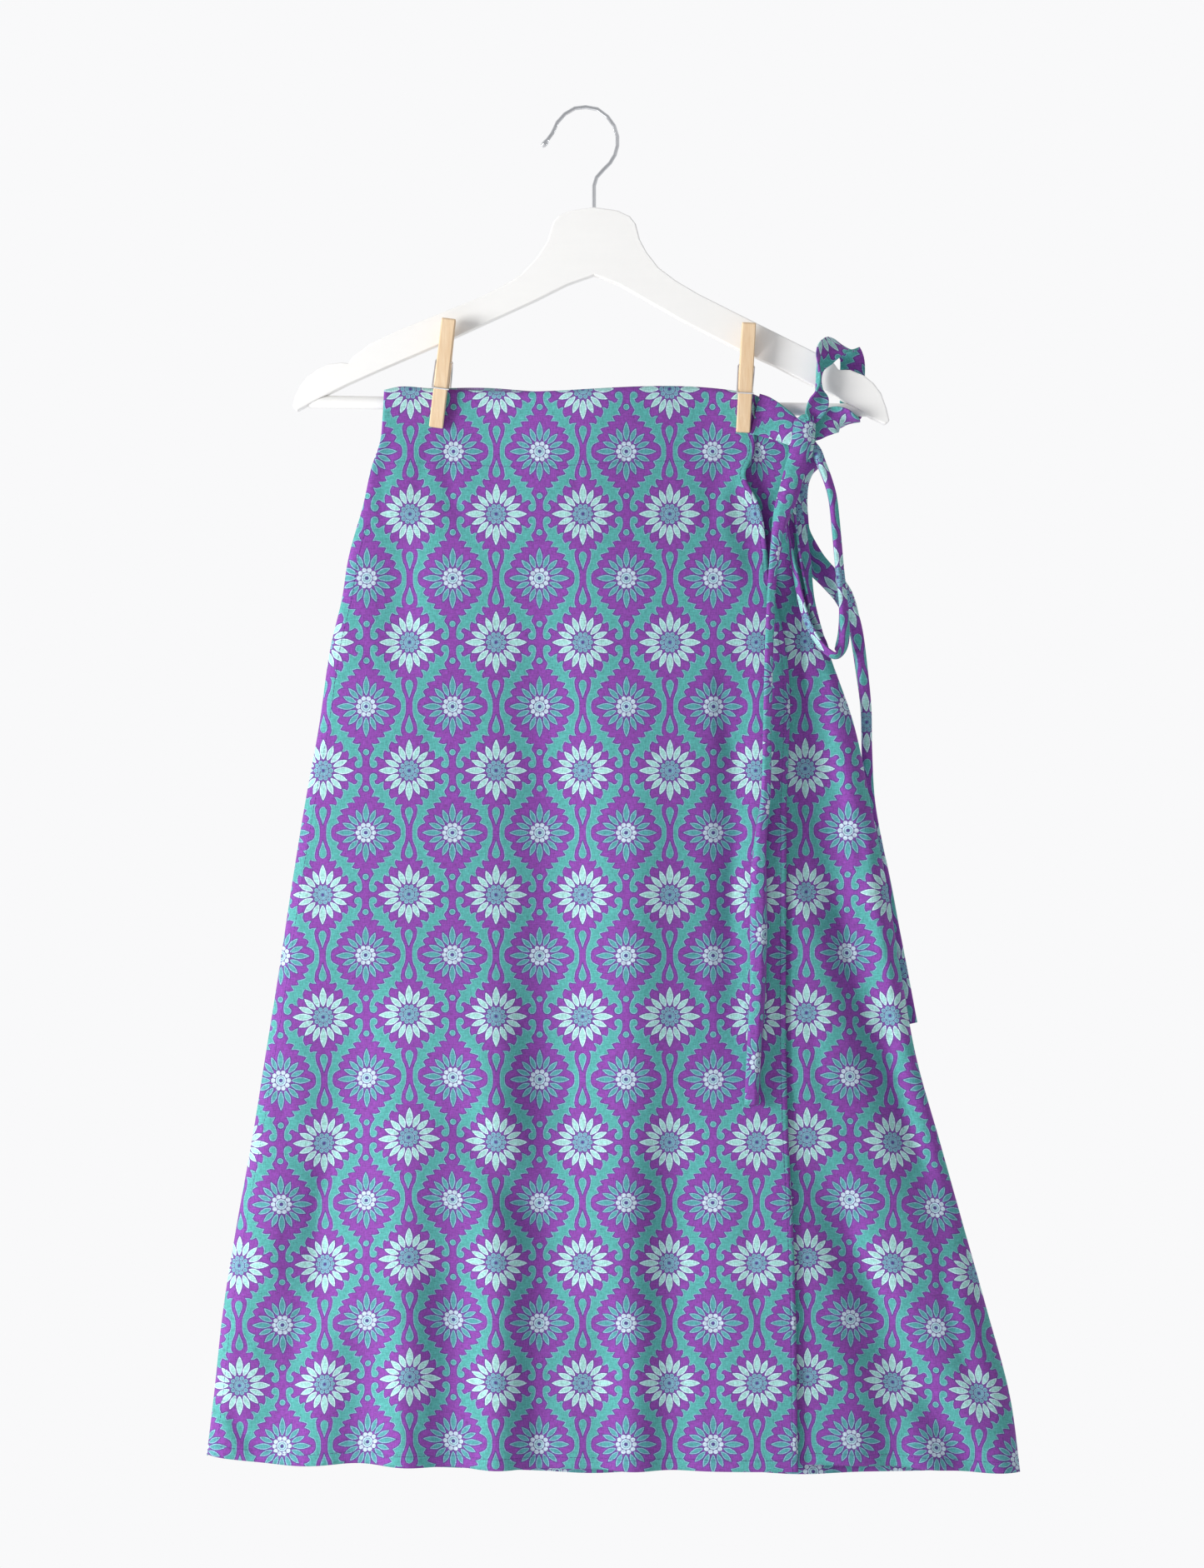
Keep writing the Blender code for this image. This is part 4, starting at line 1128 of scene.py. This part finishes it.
stub, stub_run, stub_wide = strip("stub_strip", STUB + STUB_END, 12.0, 30.0)
loop_hanger, loop_run, loop_wide = strip(
    "hanger_loop_strip", LOOP_HANGER_START + LOOP_HANGER + LOOP_HANGER_END, 8.0, 66.0
)
loop_side, loop_side_run, loop_side_wide = strip("side_loop_strip", LOOP_SIDE_START + LOOP_SIDE, -4.0, 10.0)
tail_front, tail_front_run, tail_front_wide = strip(
    "front_tail_strip", WRAP_FRONT + before_front(TAIL_FRONT), 16.5, 60.3
)
tail_side, tail_side_run, tail_side_wide = strip("side_tail_strip", TAIL_SIDE_START + TAIL_SIDE, -8.0, 44.0)

ring_grid, ring_uv, ring_run = ring_strip(KNOT_RING, KNOT_WIDE, 70.0, (1, 0, 0.1), 38.0, 20.0)
knot = cloth_sheet("knot_wrap", ring_grid, ring_uv, TIE_WALL, False, [cloth])

sewn = []
zs = np.linspace(-236.0, -972.0, 260)
edge_line = line_on(over_point, over_edge(zs) - EDGE_STITCH_IN, zs, STITCH_OUT)
sewn.append(stitches("over_edge_stitches", edge_line, *STITCH))
for name, point, ends, start, stop, out in (
    ("over_hem_stitches", over_point, over_ends, -264.0, 149.0, STITCH_OUT),
    ("under_hem_stitches", under_point, under_ends, 158.0, 302.0, STITCH_OUT),
    ("back_hem_stitches", back_point, back_ends, -262.0, 300.0, -STITCH_OUT),
):
    xs = np.linspace(start, stop, 120)
    sewn.append(stitches(name, line_on(point, xs, ends(xs)[1] + HEM_STITCH_UP, out), *STITCH))
for name, point, ends, start, stop, out in (
    ("over_waist_stitches", over_point, over_ends, -142.0, 96.0, STITCH_OUT),
    ("back_waist_stitches", back_point, back_ends, -140.0, 140.0, -STITCH_OUT),
):
    xs = np.linspace(start, stop, 90)
    sewn.append(stitches(name, line_on(point, xs, ends(xs)[0] - WAIST_STITCH_DOWN, out), *STITCH))
zs = np.linspace(-300.0, -960.0, 240)
seam_line = line_on(over_point, sides(zs)[0] + SEAM_STITCH_IN, zs, STITCH_OUT)
sewn.append(stitches("side_seam_stitches", seam_line, *STITCH))
box = [(911, 500), (923, 504), (922, 518), (910, 513), (911, 500), (922, 518), (923, 504), (910, 513)]
path = []
for (c0, r0), (c1, r1) in zip(box[:-1], box[1:], strict=True):
    for t in np.linspace(0, 1, 8):
        column = c0 + (c1 - c0) * t
        row = r0 + (r1 - r0) * t
        path.append(on_photo(column, row, -11.5 - 0.045 * (column - 911)))
sewn.append(stitches("stub_box_stitches", path, *STUB_STITCH))

white = paint_material()
bright_steel = steel_material("hook_wire_scene", (900.0, 900.0, 60.0), 0.2)
spring_steel = steel_material("spring_wire_scene", (700.0, 700.0, 700.0), 0.35)
wood = wood_material()
for node, paint in (
    ("hanger_body", white),
    ("hanger_bar", white),
    ("hanger_hook", bright_steel),
    ("peg_left_front_leg", wood),
    ("peg_left_back_leg", wood),
    ("peg_right_front_leg", wood),
    ("peg_right_back_leg", wood),
    ("peg_left_spring", spring_steel),
    ("peg_right_spring", spring_steel),
):
    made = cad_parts[node]
    made.data.materials.clear()
    made.data.materials.append(paint)

for piece, node in (
    (over, "front_over_panel"),
    (under, "front_under_panel"),
    (back, "back_panel"),
    (stub, "tie_stub"),
    (knot, "tie_knot"),
    (loop_hanger, "tie_loop_hanger"),
    (loop_side, "tie_loop_side"),
    (tail_front, "tie_tail_front"),
    (tail_side, "tie_tail_side"),
):
    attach(piece, "root")
    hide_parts(node)

for piece in sewn:
    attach(piece, "root")

# Floor, light and camera.
floor_corners = [(FLOOR_HALF * sx, FLOOR_HALF * sy, FLOOR_Z) for sx, sy in ((-1, -1), (1, -1), (1, 1), (-1, 1))]
floor_mesh = mesh_of("floor", floor_corners, [(0, 1, 2, 3)])
floor_paint, _, floor_shader = new_material("floor_scene")
floor_shader.inputs["Base Color"].default_value = linear("F1F1F2")
floor_shader.inputs["Roughness"].default_value = 0.9
floor = placed("floor", floor_mesh, floor_paint)

world = bpy.data.worlds.new("pale_world")
world.use_nodes = True
tree = world.node_tree
direction = tree.nodes.new("ShaderNodeSeparateXYZ")
tree.links.new(tree.nodes.new("ShaderNodeTexCoord").outputs["Generated"], direction.inputs[0])
behind = Num(tree, direction.outputs[1]).math("MULTIPLY_ADD", 0.8, 0.35, clamp=True)
sky = mix(tree, linear("A8A9AC"), linear("F9F9FA"), behind)
tree.links.new(sky, tree.nodes["Background"].inputs["Color"])
bpy.context.scene.world = world
bpy.context.scene.view_settings.view_transform = "Standard"

for name, place, aim, size, power in LIGHTS:
    light = bpy.data.lights.new(name, "AREA")
    light.energy = power
    light.size = size
    lamp = bpy.data.objects.new(name, light)
    lamp.location = place
    lamp.rotation_mode = "QUATERNION"
    lamp.rotation_quaternion = (Vector(aim) - Vector(place)).to_track_quat("-Z", "Y")
    bpy.context.scene.collection.objects.link(lamp)

camera_data = bpy.data.cameras.new("camera")
camera_data.sensor_width = 36.0
camera_data.lens = camera_data.sensor_width * VIEW_MM / (PHOTO_ROWS * MM_PER_PX)
camera = bpy.data.objects.new("camera", camera_data)
camera.location = (0.001 * CENTRE_X, -0.001 * VIEW_MM, 0.001 * CENTRE_Z)
camera.rotation_euler = (math.pi / 2, 0, 0)
bpy.context.scene.collection.objects.link(camera)
bpy.context.scene.camera = camera
